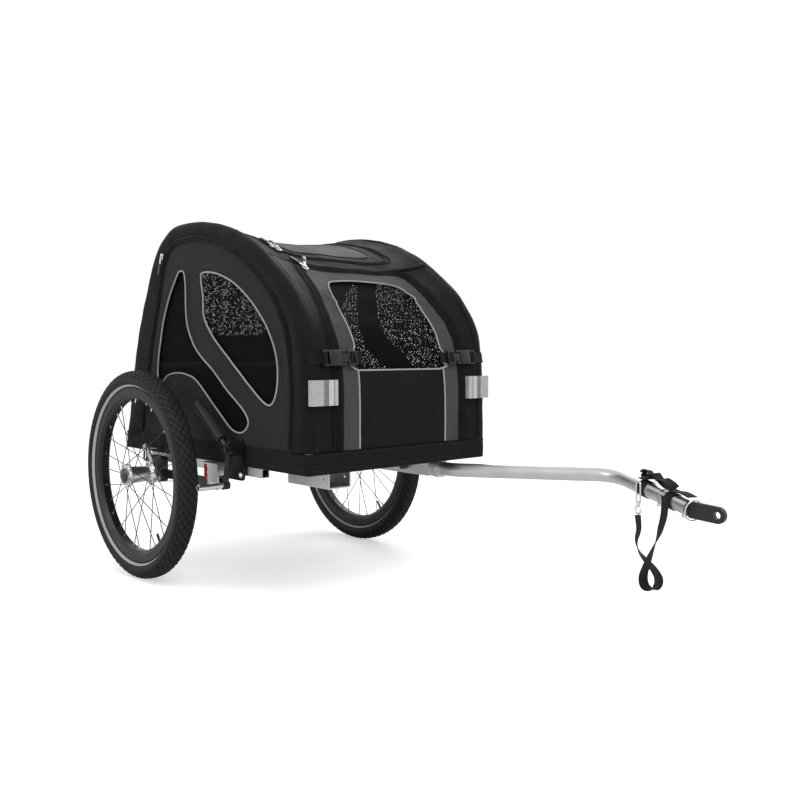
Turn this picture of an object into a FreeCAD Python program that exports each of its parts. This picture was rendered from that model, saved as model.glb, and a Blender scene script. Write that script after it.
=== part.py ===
import FreeCAD, Part
import math
import os

# Dog bike trailer, in millimetres.
# X points forward to the hitch, Y to the left and Z up.
# Lengths along X are first counted from the wheel axle. The last step moves the whole
# trailer so that the origin lies on the ground below the middle of its box.

# Wheels
wheel_radius = 250.0
tyre_width = 50.0
tyre_wall = 4.2
bead_radius = 201.6
bead_half_width = 12.4
hub_gap = 7.8
rim_radius = 209.0
rim_inner_radius = 183.0
rim_half_width = 15.0
rim_wall = 2.2
spoke_radius = 1.0
spoke_count = 28
spoke_lead_deg = 360.0 / 14 * 2
nipple_radius = 1.9
nipple_length = 10.0
flange_radius = 28.0
flange_thickness = 3.4
flange_half_spacing = 30.0
spoke_circle_radius = 25.0
spoke_head_offset = 2.9
hub_barrel_radius = 18.0
hub_barrel_outer_radius = 20.5
hub_bore_radius = 8.0
bearing_radius = 14.0
bearing_width = 8.0
axle_radius = 6.0
axle_clearance = 0.03
hub_end_length = 7.0
hub_inner_end_length = 3.0
button_radius = 18.5
button_dome = 6.0
button_travel = 3.0
button_clearance = 0.3
valve_radius = 3.0
valve_length = 25.0
valve_angle_deg = -56.8

# Cabin skin
half_width = 266.0
skin = 3.0
cabin_front = 567.0
cabin_rear = -223.0
cabin_top = 849.0
cabin_bottom = 293.0
hem_height = 45.0
hem_flange = 24.0
hem_corner = 12.0
roll_corner = 16.0
roof_sag = 28.0
roll_width = 30.0
seam_gap = 0.4
door_half_width = 186.0
door_top_height = 757.0
hatch_half_width = 172.0
hatch_front = 352.0
hatch_rear = 70.0
mesh_thickness = 1.2
mesh_overlap = 8.0
mesh_gap = 0.7
window_bottom = 505.0
window_half = 127.0
window_rise = 202.0
hatch_edge = 10.0
hatch_cut_depth = 120.0

# Frame
tube_size = 22.0
tube_wall = 2.0
hoop_radius = 9.5
hoop_depth = 14.3
strut_radius = 8.0
strut_clearance = 1.5
strut_end = 16.0
board_thickness = 3.0
mat_thickness = 25.0
mat_margin = 12.0
cross_tube_places = [-200.0, 363.0, 481.0, 552.0]

# Suspension
pivot_x = 236.0
pivot_z = 246.0
pivot_radius = 5.0
pin_clearance = 0.05
arm_height = 20.0
arm_thickness = 13.0
arm_gap = 0.5
cheek_thickness = 3.5
cheek_rear = 214.0
cheek_front = 256.0
cheek_bottom = 234.0
elastomer_length = 27.4
elastomer_ribs = 4
rib_depth = 3.0
block_rear = -45.0
block_front = 24.0
block_bottom = 230.0
block_top = 290.0
block_thickness = 18.0
link_bolt_x = -49.0
link_bolt_rise = 12.0
link_bolt_radius = 5.0
link_foot_x = 13.0
link_foot_z = 239.0
link_slot_clearance = 0.6
link_thickness = 4.0
bump_deg = 5.0
rail_under_rear = -90.0
rail_under_front = 400.0
rail_under_size = 20.0

# Parking brake
brake_x = 325.0
brake_z = 332.0
brake_pin_radius = 4.0
brake_bar_x = 308.0
brake_bar_z = 252.0
brake_bar_radius = 6.5
brake_bar_wall = 1.5
brake_bar_outer_y = 364.0
brake_arm_inner_y = 288.5
brake_arm_thickness = 15.0
brake_boss_radius = 14.0
brake_stem_radius = 6.5
grip_radius = 12.5
grip_start = 34.0
grip_end_x = 200.0
grip_end_z = 424.0
brake_plate = 5.0
brake_plate_rear = 270.0
brake_plate_front = 343.0
brake_plate_bottom = 262.0
brake_plate_top = 350.0

# Drawbar and sockets
bar_radius = 16.0
bar_wall = 2.0
socket_y = 166.5
socket_z = 269.0
socket_rear = 315.0
socket_front = 500.0
socket_width = 50.0
socket_wall = 4.0
bar_clearance = 0.25
bar_insertion = 160.0
collar_length = 20.0
bar_bend_x = 562.0
bar_far_x = 915.0
bar_far_y = 300.0
bar_far_z = 281.0
bar_bend_radius = 110.0
nose_yaw_deg = -22.0
nose_pitch_deg = -8.0
bar_nose_length = 166.0
nose_tube_radius = 13.9
nose_tube_insertion = 60.0
nose_sleeve_start = 178.0
nose_sleeve_end = 246.0
nose_sleeve_radius = 15.2
tongue_start = 252.0
tongue_length = 54.0
tongue_drop_deg = 4.0
tongue_height = 32.0
tongue_thickness = 11.0
tongue_chamfer = 1.5
neck_length = 40.0
hitch_hole_radius = 7.0
lock_pin_radius = 4.0
lock_pin_x = 420.0
lock_pin_travel = 10.0
accessory_rear = 363.0
accessory_front = 510.0
accessory_y = -136.5
accessory_width = 61.0
accessory_wall = 3.0

# Front face pieces
reflector_bottom = 436.0
reflector_height = 52.0
reflector_width = 68.0
reflector_depth = 14.0
reflector_inset = 3.0
lamp_y = 200.0
lamp_radius = 24.0
lamp_depth = 10.0
buckle_height = 34.0
buckle_middle_z = 531.0
buckle_inner_y = 137.0
buckle_outer_y = 226.0
buckle_thickness = 11.0
webbing_width = 25.0
webbing_thickness = 1.6
webbing_tail = 20.0

# Strap on the drawbar nose
strap_width = 22.0
strap_thickness = 2.0
strap_place = 195.0
loop_place = 110.0
band_thickness = 1.8
hook_wire = 2.0
hook_width = 13.0
hook_bottom_z = 238.0
hook_eye_drop = 14.0
hook_eye_radius = 8.0
ring_wire = 1.5

wheel_z = wheel_radius
nodes = {}


def vec(x, y, z):
    return FreeCAD.Vector(x, y, z)


def block(x0, x1, y0, y1, z0, z1):
    return Part.makeBox(x1 - x0, y1 - y0, z1 - z0, vec(x0, y0, z0))


def rod(start, end, radius):
    return Part.makeCylinder(radius, (end - start).Length, start, end - start)


def pipe(start, end, radius, wall):
    return rod(start, end, radius).cut(rod(start, end, radius - wall))


def polygon(points):
    return Part.makePolygon(points + [points[0]])


def mirrored(shape):
    return shape.mirror(vec(0, 0, 0), vec(0, 1, 0))


def solid_of(shape):
    solid = shape.Solids[0]
    if solid.Volume < 0:
        solid.reverse()
    return solid


# A path of straight runs joined by tangent arcs. Without a given radius each arc is as
# large as its two runs allow.
def rounded_path(points, radius=None, share=0.45):
    edges = []
    start = points[0]
    for before, corner, after in zip(points, points[1:], points[2:]):
        run_in = corner - before
        run_out = after - corner
        turn = run_in.getAngle(run_out)
        reach = share * min(run_in.Length, run_out.Length)
        if radius:
            reach = min(reach, radius * math.tan(turn / 2))
        unit_in = run_in.normalize()
        unit_out = run_out.normalize()
        bend = reach / math.tan(turn / 2)
        inward = (unit_out - unit_in).normalize()
        centre = corner + inward * (bend / math.cos(turn / 2))
        arc_start = corner - unit_in * reach
        arc_end = corner + unit_out * reach
        edges.append(Part.LineSegment(start, arc_start).toShape())
        edges.append(Part.Arc(arc_start, centre - inward * bend, arc_end).toShape())
        start = arc_end
    edges.append(Part.LineSegment(start, points[-1]).toShape())
    return Part.Wire(edges)


def bent_rod(path, radius):
    first = path.OrderedEdges[0]
    start = first.valueAt(first.FirstParameter)
    tangent = first.tangentAt(first.FirstParameter)
    section = Part.Wire(Part.Circle(start, tangent, radius).toShape())
    return solid_of(path.makePipeShell([section], True, False))


def bent_tube(path, radius, wall):
    return bent_rod(path, radius).cut(bent_rod(path, radius - wall))


def smooth_edge(points):
    curve = Part.BSplineCurve()
    curve.interpolate(points)
    return curve.toShape()


def closed_curve(points):
    curve = Part.BSplineCurve()
    curve.interpolate(points, PeriodicFlag=True)
    return Part.Face(Part.Wire(curve.toShape()))


def turned(profile, *hollows):
    shape = Part.Face(Part.Wire(polygon([vec(r, y, 0) for r, y in profile])))
    for hollow in hollows:
        shape = shape.cut(Part.Face(Part.Wire(polygon([vec(r, y, 0) for r, y in hollow]))))
    ring = shape.revolve(vec(0, 0, 0), vec(0, 1, 0), 360)
    ring.translate(vec(0, 0, wheel_z))
    return solid_of(ring)


# The cabin's side outline, from the front bottom over the top to the rear bottom:
# x, z, and how far the padded edge reaches in from the outline there.
outline = [
    (cabin_front, cabin_bottom, roll_width + 26),
    (cabin_front, cabin_top - 379, roll_width + 12),
    (cabin_front - 14, cabin_top - 249, roll_width + 12),
    (cabin_front - 79, cabin_top - 163, roll_width + 4),
    (cabin_front - 146, cabin_top - 111, roll_width),
    (cabin_front - 218, cabin_top - 64, roll_width),
    (cabin_front - 294, cabin_top - 31, roll_width),
    (cabin_front - 374, cabin_top - 10, roll_width),
    (cabin_front - 457, cabin_top, roll_width + 2),
    (cabin_rear + 253, cabin_top - 1, roll_width + 6),
    (cabin_rear + 198, cabin_top - 27, roll_width + 16),
    (cabin_rear + 155, cabin_top - 71, roll_width + 28),
    (cabin_rear + 118, cabin_top - 149, roll_width + 38),
    (cabin_rear + 78, cabin_top - 229, roll_width + 46),
    (cabin_rear + 42, cabin_top - 343, roll_width + 50),
    (cabin_rear, cabin_bottom + 31, roll_width + 54),
    (cabin_rear - 1, cabin_bottom, roll_width + 54),
]
outline_edges = rounded_path([vec(x, 0, z) for x, z, _ in outline]).OrderedEdges
outline_length = sum(edge.Length for edge in outline_edges)
hem_top = cabin_bottom + hem_height


# Lengths along the outline at which its corners lie
def corner_places():
    places = [0.0]
    along = 0.0
    for index, edge in enumerate(outline_edges):
        if index % 2:
            places.append(along + edge.Length / 2)
        along += edge.Length
    return places + [along]


corners_along = corner_places()


# The point and outward normal of the outline at a length along it
def station(along):
    along = min(max(along, 0.0), outline_length - 0.001)
    for edge in outline_edges:
        if along <= edge.Length:
            break
        along -= edge.Length
    parameter = edge.getParameterByLength(along)
    tangent = edge.tangentAt(parameter)
    return edge.valueAt(parameter), vec(0, 1, 0).cross(tangent).normalize()


# How far the padded edge reaches in at a length along the outline
def roll_reach(along):
    for low, high, here, there in zip(corners_along, corners_along[1:], outline, outline[1:]):
        if along <= high:
            part = (along - low) / (high - low)
            return here[2] + (there[2] - here[2]) * part
    return outline[-1][2]


def along_where(test, start=0.0, step=0.5):
    along = start
    while along < outline_length and not test(station(along)[0]):
        along += step
    return along


hem_along = along_where(lambda p: p.z >= hem_top + seam_gap)
sag_start_along = along_where(lambda p: p.z >= cabin_bottom + 170)
sag_full_along = along_where(lambda p: p.z >= cabin_bottom + 380)
door_top_along = along_where(lambda p: p.z >= door_top_height)
top_along = along_where(lambda p: p.x <= cabin_rear + 253)
rear_top_along = along_where(lambda p: p.z <= cabin_top - 60, top_along)
rear_hem_along = along_where(lambda p: p.z <= hem_top + seam_gap, top_along)
panel_half = half_width - roll_width


def smooth_step(value, low, high):
    share = min(max((value - low) / (high - low), 0.0), 1.0)
    return share * share * (3 - 2 * share)


# The cloth hangs lower between the two hoops than at them.
def sag(along, y):
    rise = smooth_step(along, sag_start_along, sag_full_along)
    fall = 1 - 0.75 * smooth_step(along, top_along, rear_top_along)
    across = min(abs(y) / panel_half, 1.0)
    return roof_sag * rise * fall * (1 - across ** 3)


def skin_point(along, y, depth):
    point, normal = station(along)
    lowered = point - normal * (sag(along, y) + depth)
    return vec(lowered.x, y, lowered.z)


def spaced(low, high, count):
    return [low + (high - low) * i / (count - 1) for i in range(count)]


# A piece of the sagging skin between two lengths and two widths
def skin_panel(low, high, y_low, y_high, depth, thickness, count):
    sections = []
    across = spaced(y_low, y_high, 5)
    for along in spaced(low, high, count):
        outer = [skin_point(along, y, depth) for y in across]
        inner = [skin_point(along, y, depth + thickness) for y in reversed(across)]
        sections.append(Part.Wire([
            smooth_edge(outer),
            Part.makeLine(outer[-1], inner[0]),
            smooth_edge(inner),
            Part.makeLine(inner[-1], outer[0]),
        ]))
    return solid_of(Part.makeLoft(sections, True, False))


# The padded edge over a hoop, rounding the corner between the side and the top
def edge_roll():
    sections = []
    round_in = half_width - roll_corner
    inner_side = half_width - skin
    middle = roll_corner * (1 - math.sqrt(0.5))
    inner_middle = skin + (roll_corner - skin) * (1 - math.sqrt(0.5))
    for along in spaced(hem_along, rear_hem_along, 34):
        point, normal = station(along)
        reach = roll_reach(along)

        def at(y, depth):
            lowered = point - normal * depth
            return vec(lowered.x, y, lowered.z)

        outer_arc = Part.Arc(at(half_width, roll_corner), at(half_width - middle, middle), at(round_in, 0))
        inner_arc = Part.Arc(
            at(round_in, skin),
            at(half_width - inner_middle, inner_middle),
            at(inner_side, roll_corner),
        )
        sections.append(Part.Wire([
            Part.makeLine(at(half_width, reach), at(half_width, roll_corner)),
            outer_arc.toShape(),
            Part.makeLine(at(round_in, 0), at(panel_half + seam_gap, 0)),
            Part.makeLine(at(panel_half + seam_gap, 0), at(panel_half + seam_gap, skin)),
            Part.makeLine(at(panel_half + seam_gap, skin), at(round_in, skin)),
            inner_arc.toShape(),
            Part.makeLine(at(inner_side, roll_corner), at(inner_side, reach)),
            Part.makeLine(at(inner_side, reach), at(half_width, reach)),
        ]))
    roll = Part.makeLoft(sections, True, False)
    below = block(cabin_rear - 50, cabin_front + 50, 0, half_width + 50, cabin_bottom, hem_top + seam_gap)
    return solid_of(roll.cut(below))


# The flat side outline inside the padded edge
def side_face(extra, y):
    places = [hem_along] + [a for a in corners_along if hem_along < a < rear_hem_along]
    corners = []
    for along in places + [rear_hem_along]:
        point, normal = station(along)
        corner = point - normal * (roll_reach(along) + seam_gap + extra)
        corners.append(vec(corner.x, y, corner.z))
    foot = hem_top + seam_gap + extra
    for end, before in ((0, 1), (-1, -2)):
        run = corners[end] - corners[before]
        corners[end] = corners[before] + run * ((foot - corners[before].z) / run.z)
    path = rounded_path(corners)
    return Part.Face(Part.Wire(path.OrderedEdges + [Part.makeLine(corners[-1], corners[0])]))


leaf_x = 320.0
leaf_z = 580.0
leaf_window = [
    (-148, 146), (-95, 143), (-30, 123), (30, 89), (85, 44), (126, -5), (147, -55),
    (147, -105), (132, -140), (105, -146), (52, -115), (-30, -55), (-106, 1),
    (-142, 45), (-147, 92), (-155, 128),
]
boot_x = 80.0
boot_z = 560.0
boot_window = [
    (-10, 176), (13, 162), (17, 72), (33, 26), (70, -17), (133, -57), (196, -103),
    (257, -143), (277, -170), (252, -192), (211, -188), (163, -156), (64, -85),
    (21, -70), (-24, -66), (-71, -72), (-105, -90), (-124, -82), (-124, -50),
    (-114, -5), (-92, 60), (-61, 116), (-30, 158),
]


def window_cut(centre_x, centre_z, offsets):
    face = closed_curve([vec(centre_x + x, 0, centre_z + z) for x, z in offsets])
    return face.extrude(vec(0, half_width + skin, 0))


def side_panel():
    panel = side_face(0, half_width - skin).extrude(vec(0, skin, 0))
    panel = panel.cut(window_cut(leaf_x, leaf_z, leaf_window))
    return panel.cut(window_cut(boot_x, boot_z, boot_window))


door_window = [
    (-window_half, 55), (-123, 108), (-118, 151), (-104, 190), (-60, window_rise - 2), (0, window_rise),
    (60, window_rise - 1), (102, 191), (119, 163), (window_half, 108), (window_half, 55),
]


def door_window_cut():
    low_left = vec(0, 1 - window_half, window_bottom)
    low_right = vec(0, window_half - 1, window_bottom)
    points = [vec(0, y, window_bottom + z) for y, z in door_window]
    wire = Part.Wire([smooth_edge([low_left] + points + [low_right]), Part.makeLine(low_right, low_left)])
    cut = Part.Face(wire).extrude(vec(cabin_front, 0, 0))
    cut.translate(vec(0.5 * cabin_front, 0, 0))
    return cut


def hem():
    rear = cabin_rear - skin
    front = cabin_front + 0.3
    side = half_width + 0.3
    outer = block(rear, front, -side, side, cabin_bottom, hem_top)
    upright = [e for e in outer.Edges if abs(e.tangentAt(0).z) > 0.9]
    outer = outer.makeFillet(hem_corner, upright)
    inner = block(rear + skin, front - skin, -side + skin, side - skin, cabin_bottom + skin, hem_top)
    upright = [e for e in inner.Edges if abs(e.tangentAt(0).z) > 0.9]
    inner = inner.makeFillet(hem_corner - skin, upright)
    floor_cut = block(
        rear + hem_flange,
        front - hem_flange,
        -side + hem_flange,
        side - hem_flange,
        cabin_bottom - 1,
        hem_top,
    )
    band = outer.cut(inner).cut(floor_cut)
    for bolt_side in (-1, 1):
        start = vec(link_bolt_x, bolt_side * (side - 2 * skin), link_bolt_z)
        end = vec(link_bolt_x, bolt_side * (side + skin), link_bolt_z)
        band = band.cut(rod(start, end, link_bolt_radius + 1))
    return band


def square_tube(x0, x1, y0, y1, z0, z1, wall, along):
    inner = {
        "x": block(x0 - 1, x1 + 1, y0 + wall, y1 - wall, z0 + wall, z1 - wall),
        "y": block(x0 + wall, x1 - wall, y0 - 1, y1 + 1, z0 + wall, z1 - wall),
    }[along]
    return block(x0, x1, y0, y1, z0, z1).cut(inner)


tube_bottom = cabin_bottom + skin
tube_top = tube_bottom + tube_size
rail_outer = half_width - skin - seam_gap
rail_inner = rail_outer - tube_size
link_bolt_z = tube_bottom + link_bolt_rise
floor_rear = cabin_rear + seam_gap
floor_front = cabin_front - skin - seam_gap


def floor_rail():
    rail = square_tube(floor_rear, floor_front, rail_inner, rail_outer, tube_bottom, tube_top, tube_wall, "x")
    middle_y = (rail_inner + rail_outer) / 2
    corner_cut = block(floor_rear - 1, floor_front + 1, middle_y, rail_outer + 1,
                       tube_bottom - 1, tube_top + 1)
    rounded = block(floor_rear, floor_front, middle_y - hem_corner, rail_outer, tube_bottom - 2, tube_top + 2)
    ends = [e for e in rounded.Edges if abs(e.tangentAt(0).z) > 0.9 and e.CenterOfMass.y > middle_y]
    return solid_of(rail.cut(corner_cut.cut(rounded.makeFillet(hem_corner - skin + 1, ends))))


def suspension_rail():
    inner = rail_outer - rail_under_size
    return square_tube(rail_under_rear, rail_under_front, inner, rail_outer,
                       cabin_bottom - rail_under_size, cabin_bottom, tube_wall, "x")


def hoop():
    y = half_width - hoop_depth
    path = []
    for along in corners_along[1:-2]:
        point, normal = station(along)
        inset = point - normal * hoop_depth
        path.append(vec(inset.x, y, inset.z))
    path[0] = vec(cabin_front - hoop_depth, y, path[0].z)
    point, normal = station(rear_hem_along)
    foot = point - normal * hoop_depth
    path.append(vec(foot.x, y, foot.z))
    run = path[-1] - path[-2]
    path[-1] = path[-2] + run * ((tube_top - hoop_radius - path[-2].z) / run.z)
    path.insert(0, vec(path[0].x, y, tube_top - hoop_radius))
    below = block(cabin_rear, cabin_front, y - 2 * hoop_radius, y + 2 * hoop_radius, cabin_bottom, tube_top)
    return solid_of(bent_tube(rounded_path(path), hoop_radius, tube_wall).cut(below))


# A cross tube between the hoops, bent down so that it clears the sagging cloth
def strut(along):
    point, normal = station(along)
    high = point - normal * hoop_depth
    low = point - normal * (roof_sag + skin + strut_radius + strut_clearance)
    reach = half_width - hoop_depth - hoop_radius - seam_gap
    path = [
        vec(high.x, -reach, high.z),
        vec(high.x, -reach + strut_end, high.z),
        vec(low.x, -reach + 3 * strut_end, low.z),
        vec(low.x, reach - 3 * strut_end, low.z),
        vec(high.x, reach - strut_end, high.z),
        vec(high.x, reach, high.z),
    ]
    return bent_tube(rounded_path(path), strut_radius, tube_wall)


def cross_tubes():
    tubes = [
        square_tube(x - tube_size / 2, x + tube_size / 2, -rail_inner, rail_inner, tube_bottom, tube_top,
                    tube_wall, "y")
        for x in cross_tube_places
    ]
    return tubes + [strut(strut_front_along), strut(strut_rear_along)]


strut_front_along = along_where(lambda p: p.x <= 20, door_top_along)
strut_rear_along = along_where(lambda p: p.z <= 520, top_along)


def add(name, shape):
    nodes[name] = shape if isinstance(shape, list) else [shape]


def add_pair(name, shape):
    add(name, [mirrored(shape), shape])


def add_sides(name, shape):
    shapes = shape if isinstance(shape, list) else [shape]
    nodes[name + "_right"] = [mirrored(s) for s in shapes]
    nodes[name + "_left"] = shapes


# A flat bar with round ends between two points of the XZ plane, from y_low to y_high
def link_bar(x0, z0, x1, z1, radius, y_low, y_high):
    low = vec(x0, y_low, z0)
    high = vec(x1, y_low, z1)
    along = (high - low).normalize()
    across = vec(0, 1, 0).cross(along) * radius
    corners = [low + across, high + across, high - across, low - across]
    bar = Part.Face(Part.Wire(polygon(corners))).extrude(vec(0, y_high - y_low, 0))
    for centre in (low, high):
        bar = bar.fuse(rod(centre, vec(centre.x, y_high, centre.z), radius))
    return solid_of(bar.removeSplitter())


# Suspension, made for the left side
cheek_inner_y = rail_outer + seam_gap
arm_inner_y = cheek_inner_y + cheek_thickness + arm_gap
arm_outer_y = arm_inner_y + arm_thickness
cheek_outer_y = arm_outer_y + arm_gap
block_outer_y = arm_outer_y + block_thickness
link_outer_y = block_outer_y + link_thickness
hub_reach = flange_half_spacing + flange_thickness / 2 + hub_inner_end_length
half_track = link_outer_y + hub_gap + hub_reach
bracket_end_y = cheek_outer_y + cheek_thickness
bracket_top = cabin_bottom - seam_gap
bracket_roof = bracket_top - cheek_thickness


def cross_pin(x, z, y_low, y_high, radius):
    return rod(vec(x, y_low, z), vec(x, y_high, z), radius)


# A zigzag line of points in the XZ plane, its teeth pointing along X
def teeth(x, low, high, depth):
    step = (high - low) / elastomer_ribs
    points = []
    for index in range(elastomer_ribs):
        points.append(vec(x, 0, low + index * step))
        points.append(vec(x - depth, 0, low + (index + 0.5) * step))
    return points + [vec(x, 0, high)]


def toothed_plate(rear, front, y_low, y_high, low, high):
    points = teeth(rear, low, high, rib_depth) + [vec(front, 0, high), vec(front, 0, low)]
    plate = Part.Face(Part.Wire(polygon(points))).extrude(vec(0, y_high - y_low, 0))
    plate.translate(vec(0, y_low, 0))
    return plate


def suspension_bracket():
    roof_rear = cheek_rear - elastomer_length - 4
    inner = block(cheek_rear, cheek_front, cheek_inner_y, cheek_inner_y + cheek_thickness,
                  cheek_bottom, bracket_top)
    outer = toothed_plate(cheek_rear, cheek_front, cheek_outer_y, bracket_end_y, cheek_bottom, bracket_top)
    roof = block(roof_rear, cheek_front, cheek_inner_y, bracket_end_y, bracket_roof, bracket_top)
    front = block(cheek_front - cheek_thickness, cheek_front, cheek_inner_y, bracket_end_y,
                  pivot_z + arm_height, bracket_top)
    bracket = inner.fuse([outer, roof, front])
    hole = cross_pin(pivot_x, pivot_z, cheek_inner_y, bracket_end_y, pivot_radius + pin_clearance)
    return solid_of(bracket.cut(hole).removeSplitter())


def pivot_bolt():
    shank = cross_pin(pivot_x, pivot_z, cheek_inner_y, bracket_end_y + 0.1, pivot_radius)
    head = cross_pin(pivot_x, pivot_z, bracket_end_y + 0.1, bracket_end_y + 3.2, pivot_radius + 3)
    return solid_of(shank.fuse(head).removeSplitter())


def link_bolt():
    shank = cross_pin(link_bolt_x, link_bolt_z, rail_outer, link_outer_y + 0.4, link_bolt_radius)
    head = cross_pin(link_bolt_x, link_bolt_z, link_outer_y + 0.4, link_outer_y + 3.6, link_bolt_radius + 3)
    return shank.fuse(head)


def elastomer():
    low = pivot_z + arm_height / 2 + 0.3
    high = bracket_roof - 0.3
    front = cheek_rear - rib_depth - 0.3
    rear = cheek_rear - elastomer_length
    points = teeth(front, low, high, rib_depth)
    points += list(reversed(teeth(rear + rib_depth, low, high, -rib_depth)))
    solid = Part.Face(Part.Wire(polygon(points))).extrude(vec(0, arm_thickness, 0))
    solid.translate(vec(0, arm_inner_y, 0))
    return solid


def swing_arm():
    half = arm_height / 2
    beam = block(block_rear, pivot_x, arm_inner_y, arm_outer_y, pivot_z - half, pivot_z + half)
    knuckle = cross_pin(pivot_x, pivot_z, arm_inner_y, arm_outer_y, half)
    arm = beam.fuse(knuckle)
    arm = arm.cut(cross_pin(pivot_x, pivot_z, arm_inner_y, arm_outer_y, pivot_radius + pin_clearance))
    return solid_of(arm.removeSplitter())


def axle():
    body = block(block_rear, block_front, arm_outer_y, block_outer_y, block_bottom, block_top)
    long_edges = [e for e in body.Edges if abs(e.tangentAt(0).y) > 0.9]
    body = body.makeFillet(8, long_edges)
    spindle = cross_pin(0, wheel_z, block_outer_y, half_track + flange_half_spacing + 2.2, axle_radius)
    return solid_of(body.fuse(spindle).removeSplitter())


def limit_link():
    radius = link_bolt_radius + 5
    swing = math.radians(bump_deg)
    reach_x = link_bolt_x - pivot_x
    reach_z = link_bolt_z - pivot_z
    end_x = pivot_x + reach_x * math.cos(swing) - reach_z * math.sin(swing)
    end_z = pivot_z + reach_x * math.sin(swing) + reach_z * math.cos(swing)
    plate = link_bar(link_bolt_x, link_bolt_z, end_x, end_z, radius, block_outer_y, link_outer_y)
    stem = link_bar(link_bolt_x + 3, link_bolt_z, link_foot_x, link_foot_z, radius - 2,
                    block_outer_y, link_outer_y)
    slot = link_bar(link_bolt_x, link_bolt_z, end_x, end_z, link_bolt_radius + link_slot_clearance,
                    block_outer_y - 1, link_outer_y + 1)
    foot = cross_pin(link_foot_x, link_foot_z, link_outer_y, link_outer_y + 2.5, link_bolt_radius)
    spindle_hole = cross_pin(0, wheel_z, block_outer_y - 1, link_outer_y + 1, axle_radius + seam_gap)
    return solid_of(plate.fuse(stem).cut(slot).fuse(foot).cut(spindle_hole).removeSplitter())


# Wheel, made for the left side around the axle
def tyre_line(scale):
    half = [
        (bead_radius, bead_half_width),
        (rim_radius + 0.6, bead_half_width + 0.2),
        (wheel_radius - 31, tyre_width / 2 - 2.5),
        (wheel_radius - 21, tyre_width / 2),
        (wheel_radius - 10, tyre_width / 2 - 4),
        (wheel_radius - 2.2, tyre_width / 4 + 1),
    ]
    middle = (wheel_radius + bead_radius) / 2
    points = half + [(wheel_radius, 0)] + [(r, -y) for r, y in reversed(half)]
    return [vec(middle + (r - middle) * scale, half_track + y * scale, 0) for r, y in points]


def tyre_ring(outer_scale, inner_scale):
    outer = tyre_line(outer_scale)
    inner = list(reversed(tyre_line(inner_scale)))
    wire = Part.Wire([
        smooth_edge(outer),
        Part.makeLine(outer[-1], inner[0]),
        smooth_edge(inner),
        Part.makeLine(inner[-1], outer[0]),
    ])
    ring = Part.Face(wire).revolve(vec(0, 0, 0), vec(0, 1, 0), 360)
    ring.translate(vec(0, 0, wheel_z))
    return solid_of(ring)


def wheel_point(radius, angle, y):
    return vec(radius * math.cos(angle), y, wheel_z + radius * math.sin(angle))


valve_angle = math.radians(valve_angle_deg)
tyre_inner_scale = 1 - 2 * tyre_wall / (wheel_radius - bead_radius)
tube_outer_scale = tyre_inner_scale - 0.04
tube_inner_scale = tube_outer_scale - 0.05


def inner_tube():
    loops = []
    for scale, floor in ((tube_outer_scale, bead_radius + 0.6), (tube_inner_scale, bead_radius + 1.8)):
        line = tyre_line(scale)
        loops.append(closed_curve(line + [vec(floor, half_track, 0)]))
    ring = loops[0].cut(loops[1]).revolve(vec(0, 0, 0), vec(0, 1, 0), 360)
    ring.translate(vec(0, 0, wheel_z))
    stem = rod(
        wheel_point(rim_inner_radius - valve_length, valve_angle, half_track),
        wheel_point(bead_radius + 1.4, valve_angle, half_track),
        valve_radius,
    )
    return solid_of(ring.fuse(stem).removeSplitter())


def rim():
    c = half_track
    w = rim_half_width
    lip = bead_half_width + 0.4
    outer = [
        (rim_radius, c - w), (rim_radius, c - lip), (bead_radius - 0.3, c - lip),
        (bead_radius - 0.3, c + lip), (rim_radius, c + lip), (rim_radius, c + w),
        (rim_inner_radius + 9, c + w), (rim_inner_radius, c + w - 6),
        (rim_inner_radius, c - w + 6), (rim_inner_radius + 9, c - w),
    ]
    t = rim_wall
    hollow = [
        (bead_radius - 0.3 - t, c - w + t), (bead_radius - 0.3 - t, c + w - t),
        (rim_inner_radius + 9 + t / 2, c + w - t), (rim_inner_radius + t, c + w - 6 - t / 2),
        (rim_inner_radius + t, c - w + 6 + t / 2), (rim_inner_radius + 9 + t / 2, c - w + t),
    ]
    ring = turned(outer, hollow)
    hole = rod(
        wheel_point(rim_inner_radius - 5, valve_angle, half_track),
        wheel_point(rim_radius, valve_angle, half_track),
        valve_radius + 0.3,
    )
    return solid_of(ring.cut(hole))


def spokes_and_nipples():
    spokes = []
    nipples = []
    lead = math.radians(spoke_lead_deg)
    for index in range(spoke_count):
        rim_angle = valve_angle + 2 * math.pi * (index + 0.5) / spoke_count
        side = 1 if index % 2 else -1
        way = 1 if (index // 2) % 2 else -1
        offset = way * (spoke_head_offset if way != side else spoke_head_offset + 1)
        flange_y = half_track + side * flange_half_spacing + offset
        foot = wheel_point(spoke_circle_radius, rim_angle + way * lead, flange_y)
        top = wheel_point(rim_inner_radius, rim_angle, half_track + side * 2.5)
        along = (top - foot).normalize()
        nipple_end = top - along * 0.7
        nipple_start = nipple_end - along * nipple_length
        spokes.append(rod(foot - along * spoke_radius, nipple_start, spoke_radius))
        nipples.append(rod(nipple_start, nipple_end, nipple_radius))
    return spokes, nipples


hub_inner_y = half_track - flange_half_spacing - flange_thickness / 2 - hub_inner_end_length
hub_outer_y = half_track + flange_half_spacing + flange_thickness / 2 + hub_end_length
hub_face_y = hub_outer_y - 6


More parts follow.
